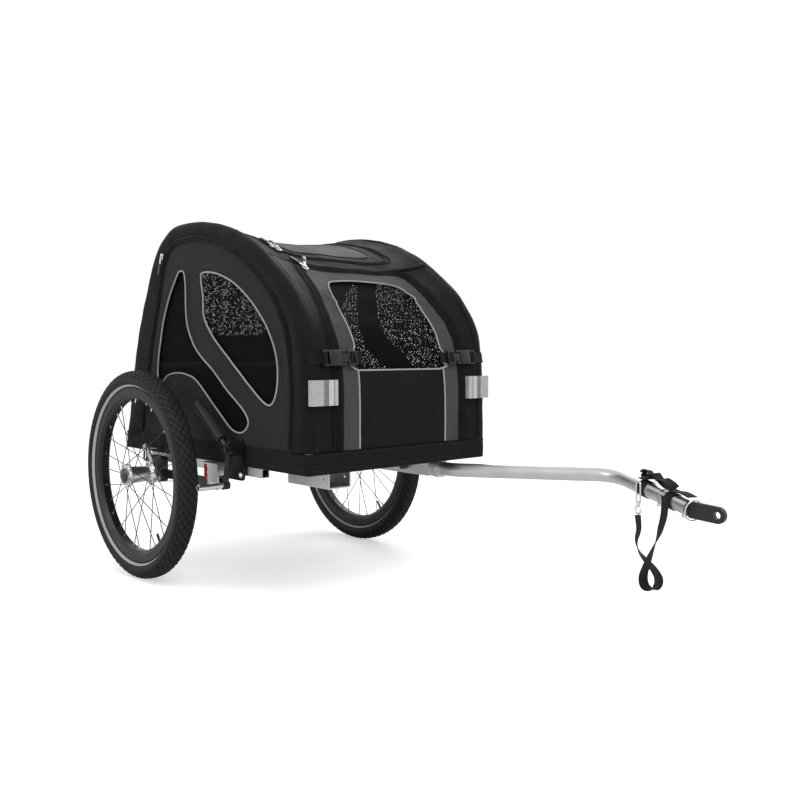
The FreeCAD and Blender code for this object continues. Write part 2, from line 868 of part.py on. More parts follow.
def hub():
    inner_flange = half_track - flange_half_spacing
    outer_flange = half_track + flange_half_spacing
    t = flange_thickness / 2
    end_radius = bearing_radius + 3
    lip = button_radius + button_clearance
    seat = bearing_radius
    depth = bearing_width + 0.3
    shell = turned([
        (seat, hub_inner_y), (end_radius, hub_inner_y), (end_radius, inner_flange - t),
        (flange_radius, inner_flange - t), (flange_radius, inner_flange + t),
        (hub_barrel_radius + 4, inner_flange + t), (hub_barrel_radius, inner_flange + t + 6),
        (hub_barrel_outer_radius, outer_flange - t - 6), (hub_barrel_outer_radius + 2, outer_flange - t),
        (flange_radius, outer_flange - t), (flange_radius, outer_flange + t),
        (lip + 2.2, outer_flange + t), (lip + 2.2, hub_outer_y), (lip, hub_outer_y),
        (lip, hub_face_y), (seat, hub_face_y), (seat, hub_face_y - depth),
        (hub_bore_radius, hub_face_y - depth), (hub_bore_radius, hub_inner_y + depth),
        (seat, hub_inner_y + depth),
    ])
    bearings = []
    for low in (hub_inner_y + 0.2, hub_face_y - depth + 0.1):
        bearings.append(turned([
            (axle_radius + axle_clearance, low), (seat - 0.03, low),
            (seat - 0.03, low + bearing_width), (axle_radius + axle_clearance, low + bearing_width),
        ]))
    return [shell] + bearings


def hub_button():
    inner_y = hub_face_y + button_travel + 0.4
    drum = cross_pin(0, wheel_z, inner_y, hub_outer_y + 0.8, button_radius)
    dome_end = hub_outer_y + 0.8
    cap_radius = (button_radius ** 2 + button_dome ** 2) / (2 * button_dome)
    ball = Part.makeSphere(cap_radius, vec(0, dome_end + button_dome - cap_radius, wheel_z))
    dome = ball.common(cross_pin(0, wheel_z, dome_end, dome_end + button_dome + 1, button_radius))
    return solid_of(drum.fuse(dome).removeSplitter())


# Parking brake, made for the left side
brake_arm_outer_y = brake_arm_inner_y + brake_arm_thickness
brake_arm_middle_y = brake_arm_inner_y + brake_arm_thickness / 2


def brake_bracket():
    inner_y = half_width + 0.3 + seam_gap
    outer_y = inner_y + brake_plate
    plate = block(brake_plate_rear, brake_plate_front, inner_y, outer_y, brake_plate_bottom, brake_plate_top)
    upright = [e for e in plate.Edges if abs(e.tangentAt(0).y) > 0.9]
    plate = plate.makeFillet(9, upright)
    boss = cross_pin(brake_x, brake_z, outer_y, brake_arm_inner_y - 0.4, brake_boss_radius)
    spacer = block(brake_plate_rear + 12, brake_plate_front - 12, rail_outer, inner_y,
                   cabin_bottom - rail_under_size + 2, cabin_bottom - seam_gap)
    pin = cross_pin(brake_x, brake_z, brake_arm_inner_y - 0.4, brake_arm_outer_y + 0.4, brake_pin_radius)
    head = cross_pin(brake_x, brake_z, brake_arm_outer_y + 0.4, brake_arm_outer_y + 4, brake_pin_radius + 3)
    return solid_of(plate.fuse([boss, spacer, pin, head]).removeSplitter())


def brake_lever():
    boss = cross_pin(brake_x, brake_z, brake_arm_inner_y, brake_arm_outer_y, brake_boss_radius)
    y = brake_arm_middle_y
    pivot = vec(brake_x, y, brake_z)
    stem = rod(pivot, vec(brake_bar_x, y, brake_bar_z), brake_stem_radius)
    foot = cross_pin(brake_bar_x, brake_bar_z, brake_arm_inner_y, brake_arm_outer_y, brake_bar_radius + 3)
    handle_end = vec(grip_end_x, y, grip_end_z)
    handle = rod(pivot, handle_end, brake_stem_radius)
    lever = boss.fuse([stem, foot, handle])
    hole = cross_pin(brake_x, brake_z, brake_arm_inner_y, brake_arm_outer_y, brake_pin_radius + pin_clearance)
    socket = cross_pin(brake_bar_x, brake_bar_z, brake_arm_inner_y, brake_arm_outer_y, brake_bar_radius)
    return solid_of(lever.cut(hole).cut(socket).removeSplitter())


def brake_grip():
    y = brake_arm_middle_y
    pivot = vec(brake_x, y, brake_z)
    end = vec(grip_end_x, y, grip_end_z)
    along = (end - pivot).normalize()
    sleeve = rod(pivot + along * grip_start, end + along * 6, grip_radius)
    rims = [e for e in sleeve.Edges if len(e.Vertexes) == 1]
    sleeve = sleeve.makeFillet(4, rims)
    return solid_of(sleeve.cut(rod(pivot, end, brake_stem_radius)))


def brake_bar():
    start = vec(brake_bar_x, brake_arm_inner_y, brake_bar_z)
    end = vec(brake_bar_x, brake_bar_outer_y, brake_bar_z)
    return pipe(start, end, brake_bar_radius, brake_bar_wall)


# Drawbar, sockets and hitch
nose_yaw = math.radians(nose_yaw_deg)
nose_pitch = math.radians(nose_pitch_deg)
tongue_drop = math.radians(tongue_drop_deg)
nose_way = vec(
    math.cos(nose_yaw) * math.cos(nose_pitch),
    math.sin(nose_yaw) * math.cos(nose_pitch),
    math.sin(nose_pitch),
)
nose_flat = vec(math.cos(nose_yaw), math.sin(nose_yaw), 0)
nose_side = vec(-math.sin(nose_yaw), math.cos(nose_yaw), 0)
bar_far = vec(bar_far_x, bar_far_y, bar_far_z)


def nose_point(distance):
    return bar_far + nose_way * distance


def drawbar():
    path = rounded_path(
        [
            vec(socket_front - bar_insertion, socket_y, socket_z),
            vec(bar_bend_x, socket_y, socket_z),
            bar_far,
            nose_point(bar_nose_length),
        ],
        radius=bar_bend_radius,
    )
    tube = bent_tube(path, bar_radius, bar_wall)
    hole = cross_pin(lock_pin_x, socket_z, socket_y - bar_radius - 1, socket_y, lock_pin_radius + 0.6)
    return solid_of(tube.cut(hole))


def drawbar_socket():
    half = socket_width / 2
    body = block(socket_rear, socket_front, socket_y - half, socket_y + half,
                 socket_z - bar_radius - 2, tube_bottom)
    rear_edges = [
        e for e in body.Edges
        if abs(e.tangentAt(0).z) > 0.9 and abs(e.CenterOfMass.x - socket_rear) < 0.1
    ]
    body = body.makeFillet(socket_width * 0.4, rear_edges)
    bore = rod(vec(socket_front - bar_insertion - 5, socket_y, socket_z),
               vec(socket_front + 1, socket_y, socket_z), bar_radius + bar_clearance)
    pin_hole = cross_pin(lock_pin_x, socket_z, socket_y - half - 1, socket_y, lock_pin_radius + pin_clearance)
    return solid_of(body.cut(bore).cut(pin_hole))


def socket_collar():
    start = vec(socket_front + 0.3, socket_y, socket_z)
    end = vec(socket_front + collar_length, socket_y, socket_z)
    inner = rod(start, end, bar_radius + bar_clearance)
    return solid_of(rod(start, end, bar_radius + 6).cut(inner))


def lock_pin():
    side = socket_y - socket_width / 2
    tip = socket_y - bar_radius + 7
    shank = cross_pin(lock_pin_x, socket_z, side - 4, tip, lock_pin_radius)
    knob = cross_pin(lock_pin_x, socket_z, side - 14, side - 0.3, lock_pin_radius + 4)
    return solid_of(shank.fuse(knob).removeSplitter())


def accessory_socket():
    half = accessory_width / 2
    low = socket_z - bar_radius - 2
    tube = square_tube(accessory_rear, accessory_front, accessory_y - half, accessory_y + half,
                       low, tube_bottom, accessory_wall, "x")
    for x in (accessory_front - 18, accessory_rear + 30):
        tube = tube.cut(cross_pin(x, socket_z + 3, accessory_y - half - 1, accessory_y + half + 1, 3))
    return solid_of(tube)


def hitch_tube():
    start = nose_point(bar_nose_length - nose_tube_insertion)
    end = nose_point(nose_sleeve_end)
    tube = rod(start, end, nose_tube_radius)
    sleeve = rod(nose_point(nose_sleeve_start), end, nose_sleeve_radius)
    return solid_of(tube.fuse(sleeve).removeSplitter().cut(rod(start, end, nose_tube_radius - bar_wall)))


def hitch_tongue():
    root = nose_point(tongue_start)
    half_height = tongue_height / 2
    half = tongue_thickness / 2
    outline_wire = Part.Wire([
        Part.makeLine(vec(-3, 0, half_height), vec(tongue_length, 0, half_height)),
        Part.Arc(
            vec(tongue_length, 0, half_height),
            vec(tongue_length + half_height, 0, 0),
            vec(tongue_length, 0, -half_height),
        ).toShape(),
        Part.makeLine(vec(tongue_length, 0, -half_height), vec(-3, 0, -half_height)),
        Part.makeLine(vec(-3, 0, -half_height), vec(-3, 0, half_height)),
    ])
    plate = Part.Face(outline_wire).extrude(vec(0, tongue_thickness, 0))
    rims = [e for e in plate.Edges if abs(e.CenterOfMass.y - half) > half - 0.1 and e.CenterOfMass.x > 0]
    plate = plate.makeChamfer(tongue_chamfer, rims)
    plate = plate.cut(cross_pin(tongue_length, 0, -1, tongue_thickness + 1, hitch_hole_radius))
    plate.rotate(vec(0, 0, 0), vec(0, 1, 0), tongue_drop_deg)
    plate.translate(vec(root.x, root.y - half, root.z))
    neck_radius = nose_tube_radius - bar_wall - pin_clearance
    neck = rod(nose_point(nose_sleeve_end - neck_length), nose_point(tongue_start + 1), neck_radius)
    return solid_of(plate.fuse(neck).removeSplitter())


def hitch_ring():
    radius = tongue_height / 2 + 4
    return Part.makeTorus(radius, ring_wire, nose_point(tongue_start + 6), nose_way)


def clamp_bosses():
    bosses = []
    for distance, radius in ((bar_nose_length - 12, bar_radius), (nose_sleeve_end - 14, nose_sleeve_radius)):
        centre = nose_point(distance)
        down = nose_side.cross(nose_way)
        bosses.append(rod(centre + down * (radius + seam_gap), centre + down * (radius + 7), 4))
    return bosses


# Strap, its bands and the snap hook
strap_side = nose_side * -1


def band(distance, radius):
    start = nose_point(distance - strap_width / 2)
    end = nose_point(distance + strap_width / 2)
    return rod(start, end, radius + band_thickness).cut(rod(start, end, radius))


def strap_bands():
    return [band(loop_place, bar_radius + 0.3), band(strap_place, nose_sleeve_radius + 0.3)]


def top_webbing():
    lift = bar_radius + band_thickness + 0.6
    points = [
        (loop_place - 16, lift + 0.6), (loop_place - 2, lift + 0.8), (loop_place + 12, lift + 5),
        (loop_place + 27, lift + 20), (loop_place + 42, lift + 13), (loop_place + 60, lift + 5),
        (strap_place + 4, lift + 1.5), (strap_place + 30, lift + 5), (strap_place + 56, lift + 4),
    ]
    edges = []
    for extra in (0, strap_thickness):
        line = [nose_point(d) + vec(0, 0, up + extra) for d, up in points]
        edges.append(line if extra == 0 else list(reversed(line)))
    wire = Part.Wire([
        smooth_edge(edges[0]), Part.makeLine(edges[0][-1], edges[1][0]),
        smooth_edge(edges[1]), Part.makeLine(edges[1][-1], edges[0][0]),
    ])
    ribbon = Part.Face(wire)
    ribbon.translate(nose_side * (-strap_width / 2))
    return solid_of(ribbon.extrude(nose_side * strap_width))


# The hanging strap's route, with the way its width points at each place
strap_lift = nose_sleeve_radius + band_thickness + strap_thickness / 2 + 0.7
strap_start = nose_point(strap_place) + strap_side * strap_lift
strap_route = [
    (vec(strap_start.x, strap_start.y, strap_start.z + 10), 0),
    (vec(strap_start.x, strap_start.y, strap_start.z - 20), 4),
    (vec(1081, 210, 208), 12),
    (vec(1070, 210, 176), 24),
    (vec(1057, 211, 148), 38),
    (vec(1047, 212, 121), 50),
    (vec(1037, 214, 97), 58),
    (vec(1039, 218, 74), 62),
    (vec(1060, 224, 70), 62),
    (vec(1068, 229, 91), 58),
    (vec(1052, 232, 111), 52),
    (vec(1029, 234, 127), 44),
    (vec(1012, 235, 143), 36),
    (vec(1006, 236, 163), 26),
    (vec(1013, 237, 183), 16),
    (vec(1010, 238.5, 203), 8),
    (vec(1008, 239, hook_bottom_z - hook_eye_drop - hook_eye_radius - hook_wire - 0.3), 4),
]


def safety_strap():
    path = rounded_path([point for point, _ in strap_route])
    pieces = path.OrderedEdges
    total = path.Length
    count = 64
    sections = []
    for step in range(count + 1):
        along = min(total * step / count, total - 0.001)
        share = step / count * (len(strap_route) - 1)
        low = min(int(share), len(strap_route) - 2)
        turn = strap_route[low][1] + (strap_route[low + 1][1] - strap_route[low][1]) * (share - low)
        rest = along
        for edge in pieces:
            if rest <= edge.Length:
                break
            rest -= edge.Length
        parameter = edge.getParameterByLength(rest)
        centre = edge.valueAt(parameter)
        tangent = edge.tangentAt(parameter).normalize()
        heading = nose_yaw - math.radians(turn)
        wish = vec(math.cos(heading), math.sin(heading), 0)
        across = (wish - tangent * wish.dot(tangent)).normalize()
        out = tangent.cross(across)
        a = across * (strap_width / 2)
        b = out * (strap_thickness / 2)
        sections.append(Part.Wire(polygon([centre + a + b, centre - a + b, centre - a - b, centre + a - b])))
    strap = solid_of(Part.makeLoft(sections, True, False))
    print("strap radii", [round(edge.Curve.Radius) for edge in pieces[1::2]])
    print("strap length", round(total, 1), "section", strap_width * strap_thickness)
    print("strap volume", round(strap.Volume), "of", round(strap_width * strap_thickness * total))
    return strap


def snap_hook():
    side = bar_radius + band_thickness + hook_wire + 0.7
    base = nose_point(loop_place) + strap_side * side
    top_z = base.z + bar_radius
    half = hook_width / 2
    corner = nose_flat * half
    path = rounded_path(
        [
            vec(base.x, base.y, hook_bottom_z),
            vec(base.x, base.y, hook_bottom_z) + corner,
            vec(base.x, base.y, top_z) + corner,
            vec(base.x, base.y, top_z) - corner,
            vec(base.x, base.y, hook_bottom_z) - corner,
            vec(base.x, base.y, hook_bottom_z),
        ],
        radius=half - 0.2,
    )
    loop = bent_rod(path, hook_wire)
    swivel_low = vec(base.x, base.y, hook_bottom_z - 8)
    swivel = rod(swivel_low, vec(base.x, base.y, hook_bottom_z + 4), hook_wire + 1.6)
    eye_centre = vec(base.x, base.y, hook_bottom_z - hook_eye_drop)
    eye = Part.makeTorus(hook_eye_radius, hook_wire, eye_centre, nose_side)
    return solid_of(loop.fuse([swivel, eye]).removeSplitter())


# Front face pieces, made for the left side
def on_front(z, y, depth):
    along = along_where(lambda p: p.z >= z)
    return skin_point(along, y, depth)


def reflector():
    y0 = half_width - reflector_inset - reflector_width
    rear = cabin_front + seam_gap
    tab = block(rear, rear + reflector_depth, y0, y0 + reflector_width,
                reflector_bottom, reflector_bottom + reflector_height)
    edges = [e for e in tab.Edges if abs(e.tangentAt(0).z) > 0.9 and e.CenterOfMass.x > rear + 1]
    return tab.makeFillet(4, edges)


front_tilt_deg = 12.0


def front_plate(y0, y1, height, thickness, lift):
    centre = on_front(buckle_middle_z, 0.5 * (y0 + y1), 0)
    crown = max(on_front(buckle_middle_z, y, 0).x for y in (y0, y1))
    plate = block(0, thickness, y0, y1, -height / 2, height / 2)
    plate.rotate(vec(0, 0, 0), vec(0, 1, 0), -front_tilt_deg)
    plate.translate(vec(crown + lift, 0, centre.z))
    return plate


def buckle():
    split = buckle_inner_y + 0.42 * (buckle_outer_y - buckle_inner_y)
    socket = front_plate(split + 0.5, buckle_outer_y, buckle_height, buckle_thickness, 2.2)
    plug = front_plate(buckle_inner_y, split, buckle_height - 4, buckle_thickness - 1, 2.2)
    tail = front_plate(buckle_inner_y - webbing_tail, buckle_inner_y - 0.3, webbing_width,
                       webbing_thickness, 1.0)
    return [socket, plug, tail]


def buckle_anchor():
    return front_plate(buckle_outer_y + 0.6, half_width - 8, webbing_width, webbing_thickness, 2.6)


def zip_pull(place, along, out):
    slider = block(-5, 5, -4, 4, 0, 5)
    tab = block(4, 30, -2.5, 2.5, 1.5, 4)
    pull = slider.fuse(tab)
    across = out.cross(along)
    matrix = FreeCAD.Matrix(
        along.x, across.x, out.x, place.x,
        along.y, across.y, out.y, place.y,
        along.z, across.z, out.z, place.z,
        0, 0, 0, 1,
    )
    return solid_of(pull.transformGeometry(matrix))


def surface_pull(along, y, turn_deg, lift):
    point, normal = station(along)
    place = skin_point(along, y, -lift)
    forward = normal.cross(vec(0, 1, 0)) * -1
    angle = math.radians(turn_deg)
    heading = forward * math.cos(angle) + vec(0, 1, 0) * math.sin(angle)
    return zip_pull(place, heading.normalize(), normal)


def side_pull():
    along = along_where(lambda p: p.z <= cabin_top - 40, top_along)
    point, normal = station(along)
    place = point - normal * (roll_reach(along) - 6)
    place.y = half_width + 0.4
    return zip_pull(place, vec(-0.25, 0, -0.968).normalize(), vec(0, 1, 0))


def rear_pocket():
    low = along_where(lambda p: p.z <= 700, top_along)
    high = along_where(lambda p: p.z <= 500, top_along)
    width = 150
    sections = []
    for along, bulge in zip(spaced(low, high, 7), (6, 26, 34, 36, 34, 26, 6)):
        outer = [skin_point(along, y, -bulge * (1 - (y / width) ** 4) - 1) for y in spaced(-width, width, 7)]
        inner = [skin_point(along, y, -0.6) for y in spaced(width, -width, 7)]
        sections.append(Part.Wire([
            smooth_edge(outer), Part.makeLine(outer[-1], inner[0]),
            smooth_edge(inner), Part.makeLine(inner[-1], outer[0]),
        ]))
    return solid_of(Part.makeLoft(sections, True, False))


def rear_reflector():
    along = along_where(lambda p: p.z <= 520, top_along)
    point, normal = station(along)
    disc = rod(vec(0, 0, 0), vec(0, 0, lamp_depth), lamp_radius)
    place = skin_point(along, lamp_y + lamp_radius, -seam_gap)
    disc.Placement = FreeCAD.Placement(vec(place.x, lamp_y, place.z), FreeCAD.Rotation(vec(0, 0, 1), normal))
    return disc


def mat():
    return block(floor_rear + 3 * mat_margin, floor_front - mat_margin,
                 -mat_half, mat_half, mat_bottom, mat_bottom + mat_thickness)


board_half = half_width - hoop_depth - hoop_radius - 1.5
mat_half = board_half - 3
mat_bottom = tube_top + board_thickness

# Frame
add("frame_rails", [mirrored(floor_rail()), floor_rail(), mirrored(suspension_rail()), suspension_rail()])
add("cross_tubes", cross_tubes())
add_pair("hoops", hoop())
add("floor_board", block(floor_rear, floor_front, -board_half, board_half, tube_top, mat_bottom))
add("floor_mat", mat())
add("drawbar_socket", [drawbar_socket(), socket_collar()])
add("accessory_socket", accessory_socket())
add("lock_pin", lock_pin())
add_pair("suspension_brackets", suspension_bracket())
left_bolts = [pivot_bolt(), link_bolt()]
add("frame_bolts", left_bolts + [mirrored(bolt) for bolt in left_bolts] + clamp_bosses())

# Wheels and suspension
add_sides("elastomer", elastomer())
add_sides("swing_arm", swing_arm())
add_sides("axle", axle())
add_sides("limit_link", limit_link())
add_sides("tyre", tyre_ring(1, tyre_inner_scale))
add_sides("inner_tube", inner_tube())
add_sides("rim", rim())
spokes, nipples = spokes_and_nipples()
add_sides("spokes", spokes)
add_sides("nipples", nipples)
add_sides("hub", hub())
add_sides("hub_button", hub_button())

# Parking brake on the right
add("brake_bracket", mirrored(brake_bracket()))
add("brake_lever", mirrored(brake_lever()))
add("brake_grip", mirrored(brake_grip()))
add("brake_bar", mirrored(brake_bar()))

# Cabin cover
side_lining = side_face(roll_corner / 3, half_width - skin - mesh_thickness)
side_lining = side_lining.extrude(vec(0, mesh_thickness, 0))
add_pair("side_panels", side_panel())
add_pair("side_mesh", side_lining)
add_pair("edge_rolls", edge_roll())
add("bottom_hem", hem())
front_strip = skin_panel(hem_along, door_top_along, door_half_width + seam_gap, panel_half, 0, skin, 12)
add_pair("front_surround", front_strip)
flap = skin_panel(hem_along + 0.5, door_top_along - seam_gap, -door_half_width, door_half_width, 0, skin, 12)
add("front_flap", solid_of(flap.cut(door_window_cut())))
mesh_low = along_where(lambda p: p.z >= window_bottom - mesh_overlap)
mesh_high = door_top_along - 10
mesh_half = window_half + mesh_overlap
window_net = skin_panel(mesh_low, mesh_high, -mesh_half, mesh_half, skin + mesh_gap, mesh_thickness, 12)
add("front_window", window_net)
roof = skin_panel(door_top_along, rear_top_along, -panel_half, panel_half, 0, skin, 14)
hatch_gap = block(hatch_rear, hatch_front, -hatch_half_width, hatch_half_width,
                  cabin_top - hatch_cut_depth, cabin_top + skin)
add("roof_panel", solid_of(roof.cut(hatch_gap)))
hatch_space = block(
    hatch_rear + seam_gap,
    hatch_front - seam_gap,
    -hatch_half_width + seam_gap,
    hatch_half_width - seam_gap,
    cabin_top - hatch_cut_depth,
    cabin_top + skin,
)
add("roof_hatch", solid_of(roof.common(hatch_space)))
back = skin_panel(rear_top_along + seam_gap, rear_hem_along, -panel_half, panel_half, 0, skin, 10)
add("rear_panel", [back, rear_pocket()])
add_pair("front_reflectors", reflector())
add_pair("rear_reflectors", rear_reflector())
left_buckle = buckle()
add("buckles", left_buckle + [mirrored(piece) for piece in left_buckle])
add_pair("buckle_anchors", buckle_anchor())
mesh_low_y = 3 - mesh_half
add("flap_zip_pull", surface_pull(door_top_along - 2 * mesh_overlap, mesh_low_y, 160, 1.5))
hatch_pull_along = along_where(lambda p: p.x <= hatch_front - 30, door_top_along)
add("zip_pulls", [
    side_pull(),
    mirrored(side_pull()),
    surface_pull(hatch_pull_along, -hatch_half_width - hatch_edge, 180, 1.5),
])

# Drawbar and strap
add("drawbar_tube", drawbar())
add("hitch_tube", hitch_tube())
add("hitch_tongue", hitch_tongue())
add("hitch_ring", hitch_ring())
add("strap_bands", strap_bands() + [top_webbing()])
add("safety_strap", safety_strap())
add("snap_hook", snap_hook())

# Move the trailer so that its origin is below the middle of its box, then write it.
hitch_end = nose_point(tongue_start).x + tongue_length * math.cos(tongue_drop) + tongue_height / 2
middle_x = (hitch_end - wheel_radius) / 2
os.makedirs("parts", exist_ok=True)
for name, shapes in nodes.items():
    for shape in shapes:
        if not shape.isValid() or shape.Volume <= 0:
            print("check", name, shape.isValid(), shape.Volume)
        shape.translate(vec(-middle_x, 0, 0))
    whole = shapes[0] if len(shapes) == 1 else Part.makeCompound(shapes)
    whole.exportStep("parts/" + name + ".step")
print(len(nodes), "nodes, shifted by", round(middle_x, 3))
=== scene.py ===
import math

import bmesh
import bpy
import numpy as np
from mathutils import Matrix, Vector
from mathutils.geometry import delaunay_2d_cdt


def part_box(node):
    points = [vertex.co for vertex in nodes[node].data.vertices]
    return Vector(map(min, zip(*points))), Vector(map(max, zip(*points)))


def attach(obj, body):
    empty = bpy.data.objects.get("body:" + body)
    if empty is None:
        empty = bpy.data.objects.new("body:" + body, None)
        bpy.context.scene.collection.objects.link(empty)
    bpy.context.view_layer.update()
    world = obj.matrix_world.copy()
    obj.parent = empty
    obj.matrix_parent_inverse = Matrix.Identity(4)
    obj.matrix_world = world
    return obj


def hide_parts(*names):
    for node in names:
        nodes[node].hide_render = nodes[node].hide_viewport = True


# Dog bike trailer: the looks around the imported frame.
# Sizes are in millimetres, with x counted forward from the wheel axle, y to the left and z
# up from the ground, as the frame was drawn. to_row turns them into metres in the row frame.
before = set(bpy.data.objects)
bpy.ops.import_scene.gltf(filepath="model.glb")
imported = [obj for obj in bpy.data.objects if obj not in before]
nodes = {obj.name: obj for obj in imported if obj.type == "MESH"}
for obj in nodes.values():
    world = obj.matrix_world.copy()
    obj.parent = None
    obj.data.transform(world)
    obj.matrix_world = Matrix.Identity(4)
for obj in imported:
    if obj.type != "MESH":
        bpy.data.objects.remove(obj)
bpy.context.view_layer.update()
hub_low, hub_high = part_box("hub_right")
axle_x = (hub_low.x + hub_high.x) / 2
MM = 0.001


def to_row(points):
    points = np.asarray(points, float) * MM
    points[..., 0] += axle_x
    return points


def in_mm(corner):
    return np.array([(corner.x - axle_x) / MM, corner.y / MM, corner.z / MM])


def box_mm(node):
    low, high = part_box(node)
    return in_mm(low), in_mm(high)


def normalised(vectors):
    vectors = np.asarray(vectors, float)
    return vectors / np.maximum(np.linalg.norm(vectors, axis=-1, keepdims=True), 1e-9)


# Sizes shared with the frame
half_width = 266.0
skin = 3.0
cabin_front = 567.0
cabin_rear = -223.0
cabin_top = 849.0
cabin_bottom = 293.0
hem_height = 45.0
hem_corner = 12.0
hem_step = 6.0
roll_corner = 16.0
roll_width = 30.0
roof_sag = 28.0
seam_gap = 0.4
door_half_width = 186.0
door_top_height = 757.0
hatch_half_width = 172.0
hatch_front = 352.0
hatch_rear = 70.0
window_bottom = 505.0
panel_half = half_width - roll_width
both_sides = ((-1, "right"), (1, "left"))

# Cloth details
piping_radius = 1.9
stitch_length = 3.2
stitch_pitch = 5.0
stitch_radius = 0.55
zip_ridge_radius = 1.7
binding_section = [(-5, -1), (5, -1), (5, 0.6), (-5, 0.6)]
tape_section = [(-5, -0.5), (5, -0.5), (5, 0.6), (-5, 0.6)]

outline = [
    (cabin_front, cabin_bottom, roll_width + 26),
    (cabin_front, cabin_top - 379, roll_width + 12),
    (cabin_front - 14, cabin_top - 249, roll_width + 12),
    (cabin_front - 79, cabin_top - 163, roll_width + 4),
    (cabin_front - 146, cabin_top - 111, roll_width),
    (cabin_front - 218, cabin_top - 64, roll_width),
    (cabin_front - 294, cabin_top - 31, roll_width),
    (cabin_front - 374, cabin_top - 10, roll_width),
    (cabin_front - 457, cabin_top, roll_width + 2),
    (cabin_rear + 253, cabin_top - 1, roll_width + 6),
    (cabin_rear + 198, cabin_top - 27, roll_width + 16),
    (cabin_rear + 155, cabin_top - 71, roll_width + 28),
    (cabin_rear + 118, cabin_top - 149, roll_width + 38),
    (cabin_rear + 78, cabin_top - 229, roll_width + 46),
    (cabin_rear + 42, cabin_top - 343, roll_width + 50),
    (cabin_rear, cabin_bottom + 31, roll_width + 54),
    (cabin_rear - 1, cabin_bottom, roll_width + 54),
]


# A polyline with each corner rounded by an arc that takes the same share of its shorter run
def rounded(points, share=0.45, step=2.0):
    points = [np.array(p, float) for p in points]
    path = [points[0]]
    corners = []
    for before, corner, after in zip(points, points[1:], points[2:]):
        run_in, run_out = corner - before, after - corner
        reach = share * min(np.linalg.norm(run_in), np.linalg.norm(run_out))
        unit_in, unit_out = normalised(run_in), normalised(run_out)
        turn = math.acos(float(np.clip(unit_in @ unit_out, -1, 1)))
        start, end = corner - unit_in * reach, corner + unit_out * reach
        if turn < 1e-4:
            path.append(corner)
            corners.append(corner)
            continue
        radius = reach / math.tan(turn / 2)
        centre = corner + normalised(unit_out - unit_in) * (radius / math.cos(turn / 2))
        count = max(3, int(radius * turn / step) + 1)
        for share_of_turn in np.linspace(0, 1, count):
            arm_start, arm_end = start - centre, end - centre
            mix = (math.sin((1 - share_of_turn) * turn) * arm_start
                   + math.sin(share_of_turn * turn) * arm_end) / math.sin(turn)
            path.append(centre + mix)
        corners.append(centre + normalised(corner - centre) * radius)
    path.append(points[-1])
    dense = [path[0]]
    for a, b in zip(path, path[1:]):
        pieces = max(1, int(np.linalg.norm(b - a) / step))
        dense += [a + (b - a) * k / pieces for k in range(1, pieces + 1)]
    dense = np.array(dense)
    keep = np.append(True, np.linalg.norm(np.diff(dense, axis=0), axis=1) > 1e-6)
    return dense[keep], np.array(corners)


side_line, side_corners = rounded([(x, z) for x, z, _ in outline])
side_steps = np.linalg.norm(np.diff(side_line, axis=0), axis=1)
side_along = np.append(0, np.cumsum(side_steps))
side_length = side_along[-1]
side_tangent = normalised(np.gradient(side_line, side_along, axis=0))
side_normal = np.stack([side_tangent[:, 1], -side_tangent[:, 0]], axis=1)


def nearest_along(point):
    return side_along[np.argmin(np.linalg.norm(side_line - point, axis=1))]


corners_along = np.array([0] + [nearest_along(c) for c in side_corners] + [side_length])
reaches = np.array([reach for _, _, reach in outline])


# The point and outward normal of the outline at lengths along it, as x and z
def station(along):
    along = np.asarray(along, float)
    point = np.stack([np.interp(along, side_along, side_line[:, k]) for k in (0, 1)], -1)
    normal = np.stack([np.interp(along, side_along, side_normal[:, k]) for k in (0, 1)], -1)
    return point, normalised(normal)


def roll_reach(along):
    return np.interp(along, corners_along, reaches)


def along_where(test, start=0.0):
    for a, p in zip(side_along, side_line):
        if a >= start and test(p[0], p[1]):
            return float(a)
    return float(side_length)


def down_the_back(height):
    return along_where(lambda x, z: z <= height, top_along)


hem_top = cabin_bottom + hem_height
hem_along = along_where(lambda x, z: z >= hem_top + seam_gap)
sag_start_along = along_where(lambda x, z: z >= cabin_bottom + 170)
sag_full_along = along_where(lambda x, z: z >= cabin_bottom + 380)
door_top_along = along_where(lambda x, z: z >= door_top_height)
top_along = along_where(lambda x, z: x <= cabin_rear + 253)
rear_top_along = down_the_back(cabin_top - 60)
rear_hem_along = down_the_back(hem_top + seam_gap)
window_low_along = along_where(lambda x, z: z >= window_bottom)


def smooth_step(value, low, high):
    share = np.clip((np.asarray(value, float) - low) / (high - low), 0, 1)
    return share * share * (3 - 2 * share)


def sag(along, y):
    rise = smooth_step(along, sag_start_along, sag_full_along)
    fall = 1 - 0.75 * smooth_step(along, top_along, rear_top_along)
    across = np.minimum(np.abs(y) / panel_half, 1)
    return roof_sag * rise * fall * (1 - across ** 3)


# Points of the sagging skin at lengths along the outline and places across, some depth under it
def skin_points(along, y, depth=0.0):
    point, normal = station(along)
    lowered = point - normal * (sag(along, y) + depth)[..., None]
    return np.stack([lowered[..., 0], np.asarray(y, float) * np.ones_like(lowered[..., 0]),
                     lowered[..., 1]], -1)


# A mapping from lengths along the outline and places across to points some lift above the skin,
# whose own height is added, and the outward directions there
def on_skin(height):
    def place(flat, lift):
        flat = np.asarray(flat, float)
        _, normal = station(flat[:, 0])
        points = skin_points(flat[:, 0], flat[:, 1], -(lift + height(flat)))
        return points, np.stack([normal[:, 0], np.zeros(len(flat)), normal[:, 1]], -1)
    return place


